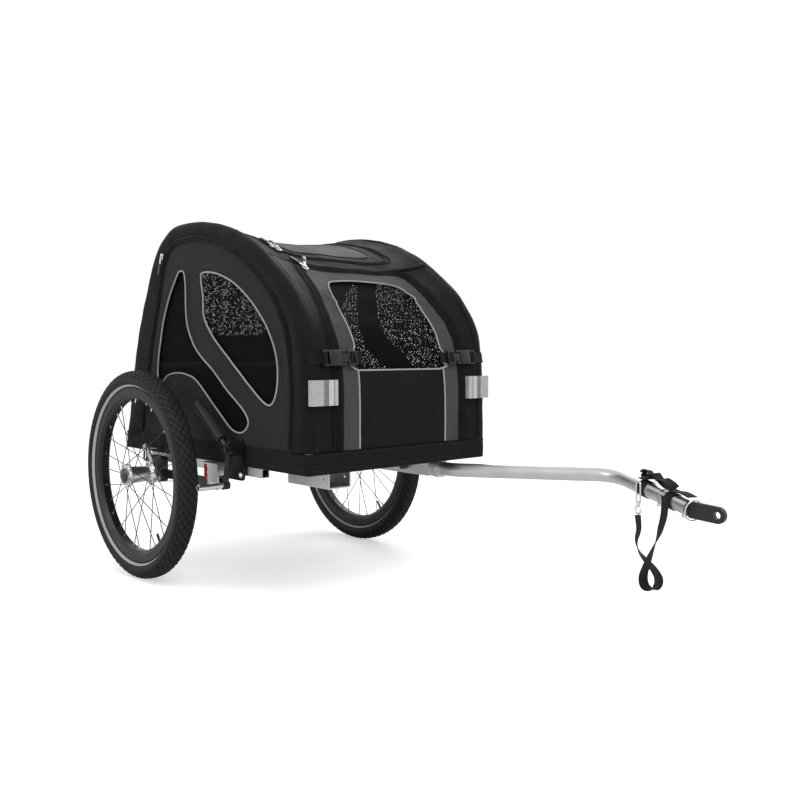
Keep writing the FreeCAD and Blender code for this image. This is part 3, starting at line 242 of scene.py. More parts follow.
# Wrinkles: a fixed sum of waves, and creases between two places
def waves(u, v, size, seed, count=7):
    random = np.random.default_rng(seed)
    total = np.zeros_like(np.asarray(u, float))
    for _ in range(count):
        angle = random.uniform(0, math.pi)
        length = size * random.uniform(0.6, 1.6)
        phase = random.uniform(0, 2 * math.pi)
        total += np.sin((u * math.cos(angle) + v * math.sin(angle)) * 2 * math.pi / length + phase)
    return total / math.sqrt(count)


def crease(u, v, u0, v0, u1, v1, width, height):
    run_u, run_v = u1 - u0, v1 - v0
    share = ((u - u0) * run_u + (v - v0) * run_v) / (run_u ** 2 + run_v ** 2)
    share_in = np.clip(share, 0, 1)
    off = np.hypot(u - u0 - share_in * run_u, v - v0 - share_in * run_v)
    fade = np.sin(np.pi * np.clip(share, 0.02, 0.98))
    return height * fade * np.exp(-(off / width) ** 2)


def creases(u, v, table, width_share=1.0, height_share=1.0):
    return sum(crease(u, v, *row[:4], row[4] * width_share, row[5] * height_share) for row in table)


# Mesh helpers
def finish_piece(piece, materials, body, replaces=()):
    for material in materials if isinstance(materials, (list, tuple)) else [materials]:
        piece.data.materials.append(material)
    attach(piece, body)
    if replaces:
        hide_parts(*replaces)
    return piece


def mesh_piece(name, points, faces, smooth=True, uv=None):
    mesh = bpy.data.meshes.new(name)
    mesh.from_pydata(to_row(points).tolist(), [], [list(map(int, f)) for f in faces])
    mesh.polygons.foreach_set("use_smooth", [smooth] * len(mesh.polygons))
    if uv is not None:
        layer = mesh.uv_layers.new(name="cloth")
        order = np.zeros(len(mesh.loops), int)
        mesh.loops.foreach_get("vertex_index", order)
        layer.data.foreach_set("uv", (np.asarray(uv, float) * MM)[order].ravel())
    mesh.update()
    piece = bpy.data.objects.new(name, mesh)
    bpy.context.scene.collection.objects.link(piece)
    return piece


# Faces of a grid of points, closed round in either direction if asked
def grid_faces(rows, columns, close_rows=False, close_columns=False):
    i = np.arange(rows if close_rows else rows - 1)
    j = np.arange(columns if close_columns else columns - 1)
    i, j = np.meshgrid(i, j, indexing="ij")
    i2, j2 = (i + 1) % rows, (j + 1) % columns
    corners = [i * columns + j, i * columns + j2, i2 * columns + j2, i2 * columns + j]
    return np.stack(corners, -1).reshape(-1, 4)


# Works out the flat extent a sheet was cut to, given in mm, and its cut area; the result is not kept
def cut_from(piece, flat):
    size = (np.max(flat, 0) - np.min(flat, 0)) * MM
    area = sum(face.area for face in piece.data.polygons)
    size *= max(1.0, math.sqrt(area / (size[0] * size[1])))


def thicken(piece, thickness, offset=-1.0):
    solid = piece.modifiers.new("thickness", "SOLIDIFY")
    solid.thickness = thickness * MM
    solid.offset = offset
    return piece


# Frames along a line: its points, tangents, and two directions across it
def frames_along(line, up, closed=False):
    line = np.asarray(line, float)
    if closed:
        tangent = normalised(np.roll(line, -1, 0) - np.roll(line, 1, 0))
    else:
        tangent = normalised(np.gradient(line, axis=0))
    up = np.broadcast_to(np.asarray(up, float), line.shape)
    side = normalised(np.cross(tangent, up))
    return line, tangent, side, np.cross(side, tangent)


# Points and faces of a section, given as offsets across and up, carried along a line
def swept(line, up, section, closed=False, section_closed=True):
    line, _, side, lift = frames_along(line, up, closed)
    section = np.asarray(section, float)
    if section.ndim == 2:
        section = np.broadcast_to(section, (len(line),) + section.shape)
    points = line[:, None] + side[:, None] * section[..., :1] + lift[:, None] * section[..., 1:]
    faces = grid_faces(len(line), section.shape[1], closed, section_closed)
    caps = []
    if not closed and section_closed:
        n = section.shape[1]
        caps = [list(range(n - 1, -1, -1)), list(range((len(line) - 1) * n, len(line) * n))]
    return points.reshape(-1, 3), [list(f) for f in faces] + caps


def ring_section(radius, count=8):
    angles = np.linspace(0, 2 * math.pi, count, endpoint=False)
    return np.stack([np.cos(angles), np.sin(angles)], -1) * radius


def joined(parts):
    points, faces = [], []
    base = 0
    for part_points, part_faces in parts:
        points.append(np.asarray(part_points, float).reshape(-1, 3))
        faces += [[index + base for index in face] for face in part_faces]
        base += len(points[-1])
    return np.concatenate(points), faces


# Points evenly spaced along a line
def resampled(line, step, closed=False):
    line = np.asarray(line, float)
    if closed:
        line = np.concatenate([line, line[:1]])
    along = np.append(0, np.cumsum(np.linalg.norm(np.diff(line, axis=0), axis=1)))
    count = max(2, int(round(along[-1] / step)))
    places = np.linspace(0, along[-1], count + 1)
    if closed:
        places = places[:-1]
    return np.stack([np.interp(places, along, line[:, k]) for k in range(line.shape[1])], -1)


def spline(p0, p1, p2, p3, t):
    return 0.5 * (2 * p1 + (p2 - p0) * t + (2 * p0 - 5 * p1 + 4 * p2 - p3) * t * t
                  + (3 * p1 - p0 - 3 * p2 + p3) * t ** 3)


# A smooth closed line through given points
def smooth_loop(points, per_span=14):
    points = np.asarray(points, float)
    result = []
    count = len(points)
    for index in range(count):
        p0, p1, p2, p3 = (points[(index + k) % count] for k in (-1, 0, 1, 2))
        for t in np.arange(per_span) / per_span:
            result.append(spline(p0, p1, p2, p3, t))
    return np.array(result)


def loop_offset(loop, distance):
    tangent = normalised(np.roll(loop, -1, 0) - np.roll(loop, 1, 0))
    normal = np.stack([tangent[:, 1], -tangent[:, 0]], -1)
    area = 0.5 * np.sum(loop[:, 0] * np.roll(loop[:, 1], -1) - np.roll(loop[:, 0], -1) * loop[:, 1])
    return loop + normal * distance * (1 if area > 0 else -1)


def inside(points, loop):
    x, y = points[:, 0], points[:, 1]
    hit = np.zeros(len(points), bool)
    for (ax, ay), (bx, by) in zip(loop, np.roll(loop, -1, 0)):
        crosses = (ay > y) != (by > y)
        if abs(by - ay) > 1e-12:
            hit ^= crosses & (x < (bx - ax) * (y - ay) / (by - ay) + ax)
    return hit


# A dense flat mesh inside an outline and outside its holes, with extra seam lines kept as edges
def cut_cloth(outer, holes=(), spacing=7.0, seams=()):
    loops = [np.asarray(outer, float)] + [np.asarray(h, float) for h in holes]
    fixed, edges = [], []
    for loop in loops:
        base = sum(len(f) for f in fixed)
        fixed.append(loop)
        edges += [(base + k, base + (k + 1) % len(loop)) for k in range(len(loop))]
    for seam in seams:
        base = sum(len(f) for f in fixed)
        fixed.append(np.asarray(seam, float))
        edges += [(base + k, base + k + 1) for k in range(len(seam) - 1)]
    fixed = np.concatenate(fixed)
    low, high = loops[0].min(0), loops[0].max(0)
    xs = np.arange(low[0], high[0], spacing)
    ys = np.arange(low[1], high[1], spacing * 0.87)
    gx, gy = np.meshgrid(xs, ys)
    gx[1::2] += spacing / 2
    free = np.stack([gx.ravel(), gy.ravel()], -1)
    ok = inside(free, loops[0])
    for hole in loops[1:]:
        ok &= ~inside(free, hole)
    free = free[ok]
    near = np.ones(len(free), bool)
    for chunk in np.array_split(fixed, max(1, len(fixed) // 200)):
        gap = np.linalg.norm(free[:, None] - chunk[None], axis=2).min(1)
        near &= gap > spacing * 0.45
    points = np.concatenate([fixed, free[near]])
    result = delaunay_2d_cdt([Vector(p) for p in points], edges, [], 0, 1e-4)
    flat = np.array([(v.x, v.y) for v in result[0]])
    tris = np.array([f for f in result[2] if len(f) == 3])
    middle = flat[tris].mean(1)
    keep = inside(middle, loops[0])
    for hole in loops[1:]:
        keep &= ~inside(middle, hole)
    return flat, tris[keep]


# Stitches as short capsules laid along a line; lift is the outward direction at each point
def stitches(line, lift, closed=False):
    both = resampled(np.concatenate([line, np.broadcast_to(lift, line.shape)], 1), stitch_pitch, closed)
    places, up = both[:, :3], normalised(both[:, 3:])
    if closed:
        tangent = normalised(np.roll(places, -1, 0) - np.roll(places, 1, 0))
    else:
        tangent = normalised(np.gradient(places, axis=0))
    side = np.cross(tangent, up)
    half = stitch_length / 2
    corners = []
    for end, size in ((-half, 0.4), (-half * 0.6, 1), (half * 0.6, 1), (half, 0.4)):
        for a, b in ((-1, 0), (0, 1), (1, 0), (0, -0.4)):
            corners.append(places + tangent * end + side * a * stitch_radius * size
                           + up * (b * stitch_radius * size))
    points = np.stack(corners, 1)
    block = []
    for ring in range(3):
        for k in range(4):
            a, b = ring * 4 + k, ring * 4 + (k + 1) % 4
            block.append((a, b, b + 4, a + 4))
    block += [(3, 2, 1, 0), (12, 13, 14, 15)]
    faces = [[index + 16 * n for index in face] for n in range(len(points)) for face in block]
    return points.reshape(-1, 3), faces


# Camera: the photograph's place and angle
camera_place = (2032.3, -1368.4, 547.6)
camera_way = (-0.73290, 0.67819, -0.05402)
camera_lens = 41.07


def make_camera():
    data = bpy.data.cameras.new("camera")
    data.lens = camera_lens
    data.sensor_width = 36.0
    data.clip_start = 0.05
    camera = bpy.data.objects.new("camera", data)
    bpy.context.scene.collection.objects.link(camera)
    camera.location = to_row(camera_place)
    camera.rotation_mode = "QUATERNION"
    camera.rotation_quaternion = Vector(camera_way).to_track_quat("-Z", "Y")
    bpy.context.scene.camera = camera


make_camera()


# Materials
class Shader:
    def __init__(self, name):
        self.material = bpy.data.materials.new(name)
        self.material.use_nodes = True
        self.tree = self.material.node_tree
        self.tree.nodes.clear()
        self.shader = self.add("ShaderNodeBsdfPrincipled")
        self.output = self.add("ShaderNodeOutputMaterial")
        self.link(self.shader.outputs[0], self.output.inputs["Surface"])
        self.bumped = None

    def add(self, kind, **settings):
        node = self.tree.nodes.new(kind)
        for key, value in settings.items():
            setattr(node, key, value)
        return node

    def link(self, start, end):
        self.tree.links.new(start, end)

    def set(self, **values):
        for key, value in values.items():
            socket = self.shader.inputs[key.replace("_", " ")]
            if key in ("Base_Color", "Emission_Color"):
                value = (*value, 1.0)
            socket.default_value = value

    def coordinates(self):
        return self.add("ShaderNodeTexCoord").outputs["Object"]

    def noise(self, scale, detail=3.0, stretch=(1, 1, 1)):
        mapping = self.add("ShaderNodeMapping")
        mapping.inputs["Scale"].default_value = stretch
        self.link(self.coordinates(), mapping.inputs["Vector"])
        texture = self.add("ShaderNodeTexNoise")
        texture.inputs["Scale"].default_value = scale
        texture.inputs["Detail"].default_value = detail
        self.link(mapping.outputs[0], texture.inputs["Vector"])
        return texture.outputs["Fac"]

    def math(self, operation, a, b=0.0):
        node = self.add("ShaderNodeMath", operation=operation)
        for socket, value in zip(node.inputs, (a, b)):
            if isinstance(value, (int, float)):
                socket.default_value = value
            else:
                self.link(value, socket)
        return node.outputs[0]

    # Threads crossing each other, whichever way the surface faces
    def weave(self, pitch):
        split = self.add("ShaderNodeSeparateXYZ")
        self.link(self.coordinates(), split.inputs[0])
        total = None
        for axis in range(3):
            turned = self.math("MULTIPLY", split.outputs[axis], 2 * math.pi / (pitch * MM))
            wave = self.math("SINE", turned)
            total = wave if total is None else self.math("ADD", total, wave)
        return total

    def mix_colour(self, share, dark, light):
        node = self.add("ShaderNodeMix", data_type="RGBA")
        self.link(share, node.inputs["Factor"])
        node.inputs["A"].default_value = (*dark, 1.0)
        node.inputs["B"].default_value = (*light, 1.0)
        return node.outputs["Result"]

    def spread(self, value, low, high, to_low=0.0, to_high=1.0):
        node = self.add("ShaderNodeMapRange")
        self.link(value, node.inputs["Value"])
        for key, number in zip(("From Min", "From Max", "To Min", "To Max"), (low, high, to_low, to_high)):
            node.inputs[key].default_value = number
        return node.outputs["Result"]

    def bump(self, height, strength, distance_mm):
        node = self.add("ShaderNodeBump")
        node.inputs["Strength"].default_value = strength
        node.inputs["Distance"].default_value = distance_mm * MM
        self.link(height, node.inputs["Height"])
        if self.bumped is not None:
            self.link(self.bumped, node.inputs["Normal"])
        self.bumped = node.outputs["Normal"]
        self.link(self.bumped, self.shader.inputs["Normal"])

    def colour(self, output):
        self.link(output, self.shader.inputs["Base Color"])

    def rough(self, output):
        self.link(output, self.shader.inputs["Roughness"])


def scaled(colour, factor):
    return tuple(min(1.0, c * factor) for c in colour)


def cloth_material(name, colour, pitch=0.9, rough=0.6, sheen=0.02, contrast=0.25, crumple=0.5):
    s = Shader(name)
    s.set(Sheen_Weight=sheen, Sheen_Roughness=0.45, Specular_IOR_Level=0.07)
    patches = s.noise(9.0, 4.0)
    fine = s.noise(140.0, 2.0)
    blotch = s.math("ADD", s.math("MULTIPLY", patches, 0.7), s.math("MULTIPLY", fine, 0.3))
    share = s.spread(blotch, 0.3, 0.7)
    s.colour(s.mix_colour(share, scaled(colour, 1 - contrast), scaled(colour, 1 + contrast)))
    s.rough(s.spread(patches, 0.3, 0.7, rough - 0.08, rough + 0.08))
    s.bump(s.weave(pitch), 0.35, 0.12)
    s.bump(s.noise(38.0, 3.0), crumple, 1.1)
    return s.material


def webbing_material(name, colour, pitch=1.6):
    s = Shader(name)
    s.set(Sheen_Weight=0.05, Sheen_Roughness=0.4, Specular_IOR_Level=0.1)
    grain = s.weave(pitch)
    share = s.spread(grain, -2.0, 2.0)
    s.colour(s.mix_colour(share, scaled(colour, 0.55), scaled(colour, 1.6)))
    s.rough(s.spread(s.noise(60.0), 0.3, 0.7, 0.5, 0.7))
    s.bump(grain, 0.8, 0.35)
    return s.material


def metal_material(name, colour, rough=0.3, metallic=1.0, brushed=None, grain=260.0, wear=0.06):
    s = Shader(name)
    s.set(Metallic=metallic, Specular_IOR_Level=0.5)
    stretch = brushed or (1, 1, 1)
    lines = s.noise(grain, 3.0, stretch)
    patches = s.noise(14.0, 4.0)
    share = s.spread(patches, 0.3, 0.7)
    s.colour(s.mix_colour(share, scaled(colour, 0.9), scaled(colour, 1.06)))
    s.rough(s.spread(s.math("ADD", s.math("MULTIPLY", lines, 0.6), s.math("MULTIPLY", patches, 0.4)),
                     0.3, 0.7, rough - wear, rough + wear))
    s.bump(lines, 0.12, 0.05)
    return s.material


def painted_material(name, colour, rough=0.4, peel=0.15, coat=0.1, grain=420.0):
    s = Shader(name)
    s.set(Specular_IOR_Level=0.3, Coat_Weight=coat, Coat_Roughness=0.25)
    speckle = s.noise(grain, 2.0)
    patches = s.noise(18.0, 4.0)
    share = s.spread(patches, 0.3, 0.7)
    s.colour(s.mix_colour(share, scaled(colour, 0.8), scaled(colour, 1.25)))
    s.rough(s.spread(patches, 0.3, 0.7, rough - 0.07, rough + 0.07))
    s.bump(speckle, peel, 0.08)
    return s.material


def rubber_material(name, colour, rough=0.62, grain=300.0):
    s = Shader(name)
    s.set(Specular_IOR_Level=0.2)
    dust = s.noise(22.0, 5.0)
    share = s.spread(dust, 0.35, 0.7)
    s.colour(s.mix_colour(share, scaled(colour, 0.8), scaled(colour, 1.3)))
    s.rough(s.spread(dust, 0.3, 0.7, rough - 0.08, rough + 0.1))
    s.bump(s.noise(grain, 2.0), 0.25, 0.12)
    return s.material


net_turn_deg = 38.0
net_unevenness = 0.5


# An open net: round see-through holes, set a little out of line
def net_material(name, colour, pitch_mm, hole):
    s = Shader(name)
    s.set(Specular_IOR_Level=0.05, Roughness=0.7)
    uv = s.add("ShaderNodeUVMap", uv_map="cloth").outputs[0]
    cells = s.add("ShaderNodeTexVoronoi", voronoi_dimensions="2D", feature="F1")
    cells.inputs["Randomness"].default_value = net_unevenness
    cells.inputs["Scale"].default_value = 1 / (pitch_mm * MM)
    turned = s.add("ShaderNodeMapping")
    turned.inputs["Rotation"].default_value = (0, 0, math.radians(net_turn_deg))
    s.link(uv, turned.inputs["Vector"])
    s.link(turned.outputs[0], cells.inputs["Vector"])
    thread = s.math("GREATER_THAN", cells.outputs["Distance"], hole)
    s.link(thread, s.shader.inputs["Alpha"])
    share = s.spread(s.noise(30.0), 0.3, 0.7)
    s.colour(s.mix_colour(share, scaled(colour, 0.7), scaled(colour, 1.4)))
    return s.material


def reflector_material(name, middle_mm):
    s = Shader(name)
    s.set(Roughness=0.35, Specular_IOR_Level=0.4, Coat_Weight=0.2, Coat_Roughness=0.2)
    split = s.add("ShaderNodeSeparateXYZ")
    s.link(s.coordinates(), split.inputs[0])
    across = s.math("ABSOLUTE", split.outputs[1])
    ramp = s.add("ShaderNodeValToRGB")
    ramp.color_ramp.interpolation = "CONSTANT"
    stops = [(0.0, 0.44), (0.15, 0.25), (0.20, 0.52), (0.38, 0.17), (0.57, 0.40), (1.0, 0.40)]
    elements = ramp.color_ramp.elements
    while len(elements) < len(stops):
        elements.new(0.5)
    for element, (place, level) in zip(elements, stops):
        element.position = place
        element.color = (level, level, level, 1)
    low, high = (middle_mm - 34) * MM, (middle_mm + 34) * MM
    s.link(s.spread(across, low, high), ramp.inputs["Fac"])
    prisms = s.add("ShaderNodeTexVoronoi", feature="F1")
    prisms.inputs["Scale"].default_value = 260.0
    s.link(s.coordinates(), prisms.inputs["Vector"])
    dots = s.spread(prisms.outputs["Distance"], 0.15, 0.6, 0.78, 1.1)
    mix = s.add("ShaderNodeMix", data_type="RGBA", blend_type="MULTIPLY")
    mix.inputs["Factor"].default_value = 1.0
    s.link(ramp.outputs[0], mix.inputs["A"])
    grey = s.add("ShaderNodeCombineColor")
    for socket in grey.inputs:
        s.link(dots, socket)
    s.link(grey.outputs[0], mix.inputs["B"])
    s.colour(mix.outputs["Result"])
    s.bump(prisms.outputs["Distance"], 0.4, 0.25)
    return s.material


def lens_material(name, colour):
    s = Shader(name)
    s.set(Roughness=0.12, Coat_Weight=0.8, Coat_Roughness=0.05, Specular_IOR_Level=0.6)
    prisms = s.add("ShaderNodeTexVoronoi", feature="F1")
    prisms.inputs["Scale"].default_value = 420.0
    s.link(s.coordinates(), prisms.inputs["Vector"])
    share = s.spread(prisms.outputs["Distance"], 0.1, 0.6)
    s.colour(s.mix_colour(share, scaled(colour, 1.5), scaled(colour, 0.6)))
    s.bump(prisms.outputs["Distance"], 0.5, 0.3)
    return s.material


black = (0.006, 0.006, 0.0065)
looks = {}


def look(maker, name, *values, **settings):
    looks[name] = maker(name, *values, **settings)


look(painted_material, "frame_black", (0.02, 0.02, 0.022), 0.42)
look(metal_material, "frame_silver", (0.62, 0.62, 0.63), 0.34, brushed=(0.05, 1, 1))
look(painted_material, "board", (0.035, 0.035, 0.036), 0.6, 0.5, 0.0)
look(cloth_material, "mat", (0.06, 0.06, 0.064), 1.2, 0.75)
look(painted_material, "socket_black", (0.022, 0.022, 0.023), 0.5, 0.4, 0.0)
look(painted_material, "knob_black", (0.018, 0.018, 0.019), 0.28, 0.1, 0.3)
look(metal_material, "bracket_silver", (0.66, 0.66, 0.66), 0.4, grain=500.0)
look(metal_material, "bolt_steel", (0.7, 0.7, 0.7), 0.16)
look(painted_material, "brake_black", (0.006, 0.006, 0.0065), 0.3)
look(rubber_material, "grip_rubber", (0.012, 0.012, 0.013), 0.4)
look(metal_material, "bar_silver", (0.78, 0.78, 0.78), 0.22)
look(cloth_material, "cloth_black", black, 0.9, 0.55)
look(cloth_material, "cloth_grey", (0.1, 0.1, 0.098), 0.9, 0.6)
look(net_material, "mesh_black", (0.0035, 0.0035, 0.004), 5.4, 0.235)
look(reflector_material, "reflector_clear", 229.0)
look(lens_material, "reflector_red", (0.5, 0.02, 0.02))
look(painted_material, "buckle_black", (0.006, 0.006, 0.0065), 0.26, 0.2, 0.2)
look(webbing_material, "webbing_black", (0.016, 0.016, 0.017))
look(metal_material, "zip_metal", (0.62, 0.62, 0.62), 0.2)
look(metal_material, "drawbar_silver", (0.60, 0.60, 0.61), 0.36, brushed=(1, 0.2, 1))
look(painted_material, "hitch_black", (0.014, 0.014, 0.015), 0.3)
look(metal_material, "ring_steel", (0.72, 0.72, 0.72), 0.14)
look(metal_material, "hook_steel", (0.74, 0.74, 0.74), 0.16)
look(rubber_material, "elastomer_red", (0.52, 0.008, 0.012), 0.4)
look(painted_material, "arm_black", (0.014, 0.014, 0.015), 0.35)
look(metal_material, "link_silver", (0.7, 0.7, 0.69), 0.26, brushed=(1, 1, 0.1))
look(rubber_material, "tyre", (0.014, 0.0145, 0.0165), 0.6)
look(rubber_material, "tube_rubber", (0.02, 0.02, 0.02), 0.5)
look(painted_material, "rim_black", (0.006, 0.006, 0.0065), 0.4, 0.08, 0.1)
look(painted_material, "spoke_black", (0.012, 0.012, 0.012), 0.3)
look(metal_material, "nipple_silver", (0.7, 0.7, 0.7), 0.15)
look(metal_material, "hub_silver", (0.86, 0.86, 0.86), 0.27, brushed=(1, 0.15, 1), grain=120.0)
look(painted_material, "cap_black", (0.014, 0.014, 0.015), 0.24, 0.08, 0.4)
side_cloth = cloth_material("side_cloth", (0.022, 0.022, 0.022), 0.8, 0.62, 0.03, 0.18, 0.35)
edge_cloth = cloth_material("edge_cloth", (0.008, 0.008, 0.009), 0.9, 0.58, 0.02, 0.2, 0.45)
roof_grey = cloth_material("roof_grey", (0.072, 0.074, 0.076), 0.9, 0.55, 0.02, 0.18, 0.6)
strip_grey = cloth_material("strip_grey", (0.060, 0.060, 0.062), 0.9, 0.55, 0.02, 0.2, 0.7)
piping_grey = cloth_material("piping_grey", (0.36, 0.36, 0.355), 1.0, 0.55, 0.3, 0.12, 0.3)
tape_black = webbing_material("zip_tape", (0.008, 0.008, 0.008), 1.2)
thread_dark = cloth_material("thread_dark", (0.022, 0.022, 0.022), 0.6, 0.5, 0.2)
thread_light = cloth_material("thread_light", (0.14, 0.14, 0.142), 0.6, 0.5, 0.2)
# Near-black rubber for the faces deep in the tread grooves: painted shade in the grooves
groove_painted_shade = rubber_material("tyre_groove_painted_shade", (0.003, 0.003, 0.0035), 0.7)
stripe_white = cloth_material("tyre_stripe", (0.5, 0.5, 0.5), 0.7, 0.45, 0.1, 0.08, 0.2)


def dress(name):
    piece = nodes[name]
    for index, slot in enumerate(piece.material_slots):
        key = slot.material.name.split(".")[0] if slot.material else ""
        if key in looks:
            slot.material = looks[key]
        else:
            print("no look for", name, key)
            slot.material = looks["frame_black"]


for node_name in nodes:
    dress(node_name)
for node_name in ("frame_rails", "cross_tubes", "accessory_socket", "drawbar_socket"):
    for slot in nodes[node_name].material_slots:
        slot.material = looks["bracket_silver"]


# Safety strap: a flat webbing that follows the smooth line of its route
strap_width = 22.0
strap_thickness = 2.0
nose_yaw = math.radians(-22.0)
nose_pitch = math.radians(-8.0)
nose_way = np.array([
    math.cos(nose_yaw) * math.cos(nose_pitch),
    math.sin(nose_yaw) * math.cos(nose_pitch),
    math.sin(nose_pitch),
])
nose_side = np.array([-math.sin(nose_yaw), math.cos(nose_yaw), 0])
bar_far = np.array([915.0, 300.0, 281.0])
bar_radius = 16.0
nose_sleeve_radius = 15.2
band_thickness = 1.8
loop_place = 110.0
strap_place = 195.0


def nose_point(distance):
    return bar_far + nose_way * distance


strap_start = nose_point(strap_place) - nose_side * (
    nose_sleeve_radius + band_thickness + strap_thickness / 2 + 0.7)
strap_route = [
    (strap_start + (0, 0, 10), 0),
    (strap_start + (0, 0, -20), 4),
    ((1081, 210, 208), 12),
    ((1070, 210, 176), 44),
    ((1057, 211, 148), 66),
    ((1047, 212, 121), 82),
    ((1037, 214, 97), 90),
    ((1039, 218, 74), 92),
    ((1060, 224, 70), 92),
    ((1068, 229, 91), 88),
    ((1052, 232, 111), 76),
    ((1029, 234, 127), 60),
    ((1012, 235, 143), 36),
    ((1006, 236, 163), 26),
    ((1013, 237, 183), 16),
    ((1010, 238.5, 203), 8),
    ((1008, 239, 213.7), 4),
]


# The points of a smooth curve through a route, read back from a curve object without a bevel
def smooth_route(points):
    data = bpy.data.curves.new("route", "CURVE")
    data.dimensions = "3D"
    data.resolution_u = 12
    spline = data.splines.new("NURBS")
    spline.points.add(len(points) - 1)
    for place, point in zip(spline.points, to_row(np.array(points, float))):
        place.co = (*point, 1.0)
    spline.order_u = 3
    spline.use_endpoint_u = True
    holder = bpy.data.objects.new("route", data)
    mesh = bpy.data.meshes.new_from_object(holder)
    line = np.array([v.co for v in mesh.vertices])
    bpy.data.objects.remove(holder)
    bpy.data.meshes.remove(mesh)
    bpy.data.curves.remove(data)
    return line


# A flat section with rounded, slightly thicker edges
def webbing_section(width, thickness):
    w, t = width / 2, thickness / 2
    return [(-w, 0), (-w + 0.5, -t), (-w + 2.2, -t * 1.1), (-w + 3.2, -t * 0.85), (w - 3.2, -t * 0.85),
            (w - 2.2, -t * 1.1), (w - 0.5, -t), (w, 0), (w - 0.5, t), (w - 2.2, t * 1.1),
            (w - 3.2, t * 0.85), (-w + 3.2, t * 0.85), (-w + 2.2, t * 1.1), (-w + 0.5, t)]


def strap():
    line_row = smooth_route([point for point, _ in strap_route])
    line = line_row.copy()
    line[:, 0] -= axle_x
    line /= MM
    turns = np.interp(np.linspace(0, 1, len(line)), np.linspace(0, 1, len(strap_route)),
                      [turn for _, turn in strap_route])
    tangent = normalised(np.gradient(line, axis=0))
    heading = nose_yaw - np.radians(turns)
    wish = np.stack([np.cos(heading), np.sin(heading), np.zeros_like(heading)], -1)
    across = normalised(wish - tangent * np.sum(wish * tangent, 1, keepdims=True))
    out = np.cross(tangent, across)
    section = np.array(webbing_section(strap_width, strap_thickness))
    points = line[:, None] + across[:, None] * section[None, :, :1] + out[:, None] * section[None, :, 1:]
    n = len(section)
    faces = grid_faces(len(line), n, False, True).tolist()
    faces += [list(range(n - 1, -1, -1)), list(range((len(line) - 1) * n, len(line) * n))]
    piece = mesh_piece("safety_strap_webbing", points.reshape(-1, 3), faces)
    finish_piece(piece, looks["webbing_black"], "chassis", ["safety_strap"])


strap()


# Side panels
leaf_x, leaf_z = 320.0, 580.0
leaf_window = [
    (-148, 146), (-95, 143), (-30, 123), (30, 89), (85, 44), (126, -5), (147, -55),
    (147, -105), (132, -140), (105, -146), (52, -115), (-30, -55), (-106, 1),
    (-142, 45), (-147, 92), (-155, 128),
]
boot_x, boot_z = 80.0, 560.0
boot_window = [
    (-10, 176), (13, 162), (17, 72), (33, 26), (70, -17), (133, -57), (196, -103),
    (257, -143), (277, -170), (252, -192), (211, -188), (163, -156), (64, -85),
    (21, -70), (-24, -66), (-71, -72), (-105, -90), (-124, -82), (-124, -50),
    (-114, -5), (-92, 60), (-61, 116), (-30, 158),
]
window_band = 13.0


def side_outline(extra=0.0):
    places = [hem_along] + [a for a in corners_along if hem_along < a < rear_hem_along] + [rear_hem_along]
    point, normal = station(places)
    corners = point - normal * (roll_reach(np.array(places)) + seam_gap + extra)[:, None]
    foot = hem_top + seam_gap + extra
    for end, before in ((0, 1), (-1, -2)):
        run = corners[end] - corners[before]
        corners[end] = corners[before] + run * ((foot - corners[before][1]) / run[1])
    return rounded(corners)[0]


def loop_distance(flat, loop):
    best = np.full(len(flat), 1e9)
    for chunk in np.array_split(loop, max(1, len(loop) // 60)):
        best = np.minimum(best, np.linalg.norm(flat[:, None] - chunk[None], axis=2).min(1))
    return best


window_loops = [
    smooth_loop(np.array(leaf_window) + (leaf_x, leaf_z), 10),
    smooth_loop(np.array(boot_window) + (boot_x, boot_z), 8),
]
side_edge = resampled(side_outline(), 7)
side_foot = np.stack([np.linspace(side_edge[-1, 0], side_edge[0, 0], 90)[1:-1],
                      np.full(88, side_edge[0, 1])], -1)
side_loop = np.concatenate([side_edge, side_foot])


side_creases = [
    (470, 420, 515, 520, 6, 1.4), (500, 400, 525, 470, 5, -1.2), (130, 760, 200, 700, 8, 1.2),
    (250, 770, 300, 740, 7, -1), (-60, 420, 10, 470, 8, 1.3), (390, 640, 420, 690, 7, 1),
]


# How far the side cloth stands out from its flat place
def side_height(flat):
    x, z = flat[:, 0], flat[:, 1]
    height = 0.7 * waves(x, z, 190, 4) + 0.25 * waves(x, z, 60, 9)
    near = np.minimum(loop_distance(flat, window_loops[0]), loop_distance(flat, window_loops[1]))
    height += 1.0 * smooth_step(window_band + 2 - near, 0, 3)
    height -= 0.6 * np.exp(-((near - window_band + 2) / 1.6) ** 2)
    height += creases(x, z, side_creases)
    return height


def side_cloth_piece(side, name):
    flat, tris = cut_cloth(side_loop, window_loops, 6.5)
    y = half_width + 0.2 + side_height(flat)
    points = np.stack([flat[:, 0], y * side, flat[:, 1]], -1)
    faces = tris if side < 0 else tris[:, ::-1]
    piece = mesh_piece("side_cloth_" + name, points, faces, uv=flat)
    thicken(piece, 1.6)
    finish_piece(piece, side_cloth, "chassis")
    cut_from(piece, flat)
    return piece


def loop_on_side(loop, side, lift):
    return np.stack([loop[:, 0], (half_width + lift + side_height(loop)) * side, loop[:, 1]], -1)


def side_details(side, name):
    out = np.array([0, side, 0.0])
    piping = []
    seams = []
    for loop in window_loops:
        line = loop_on_side(resampled(loop, 4, True), side, 0.4)
        piping.append(swept(line, out, ring_section(piping_radius, 8), closed=True))
        for distance in (window_band - 1.0, window_band + 3.5):
            outer = resampled(loop_offset(resampled(loop, 6, True), distance), 5, True)
            seams.append(stitches(loop_on_side(outer, side, 0.35), out, closed=True))
    finish_piece(mesh_piece("window_piping_" + name, *joined(piping)),
                 piping_grey, "chassis")
    finish_piece(mesh_piece("side_stitching_" + name, *joined(seams)),
                 thread_dark, "chassis")


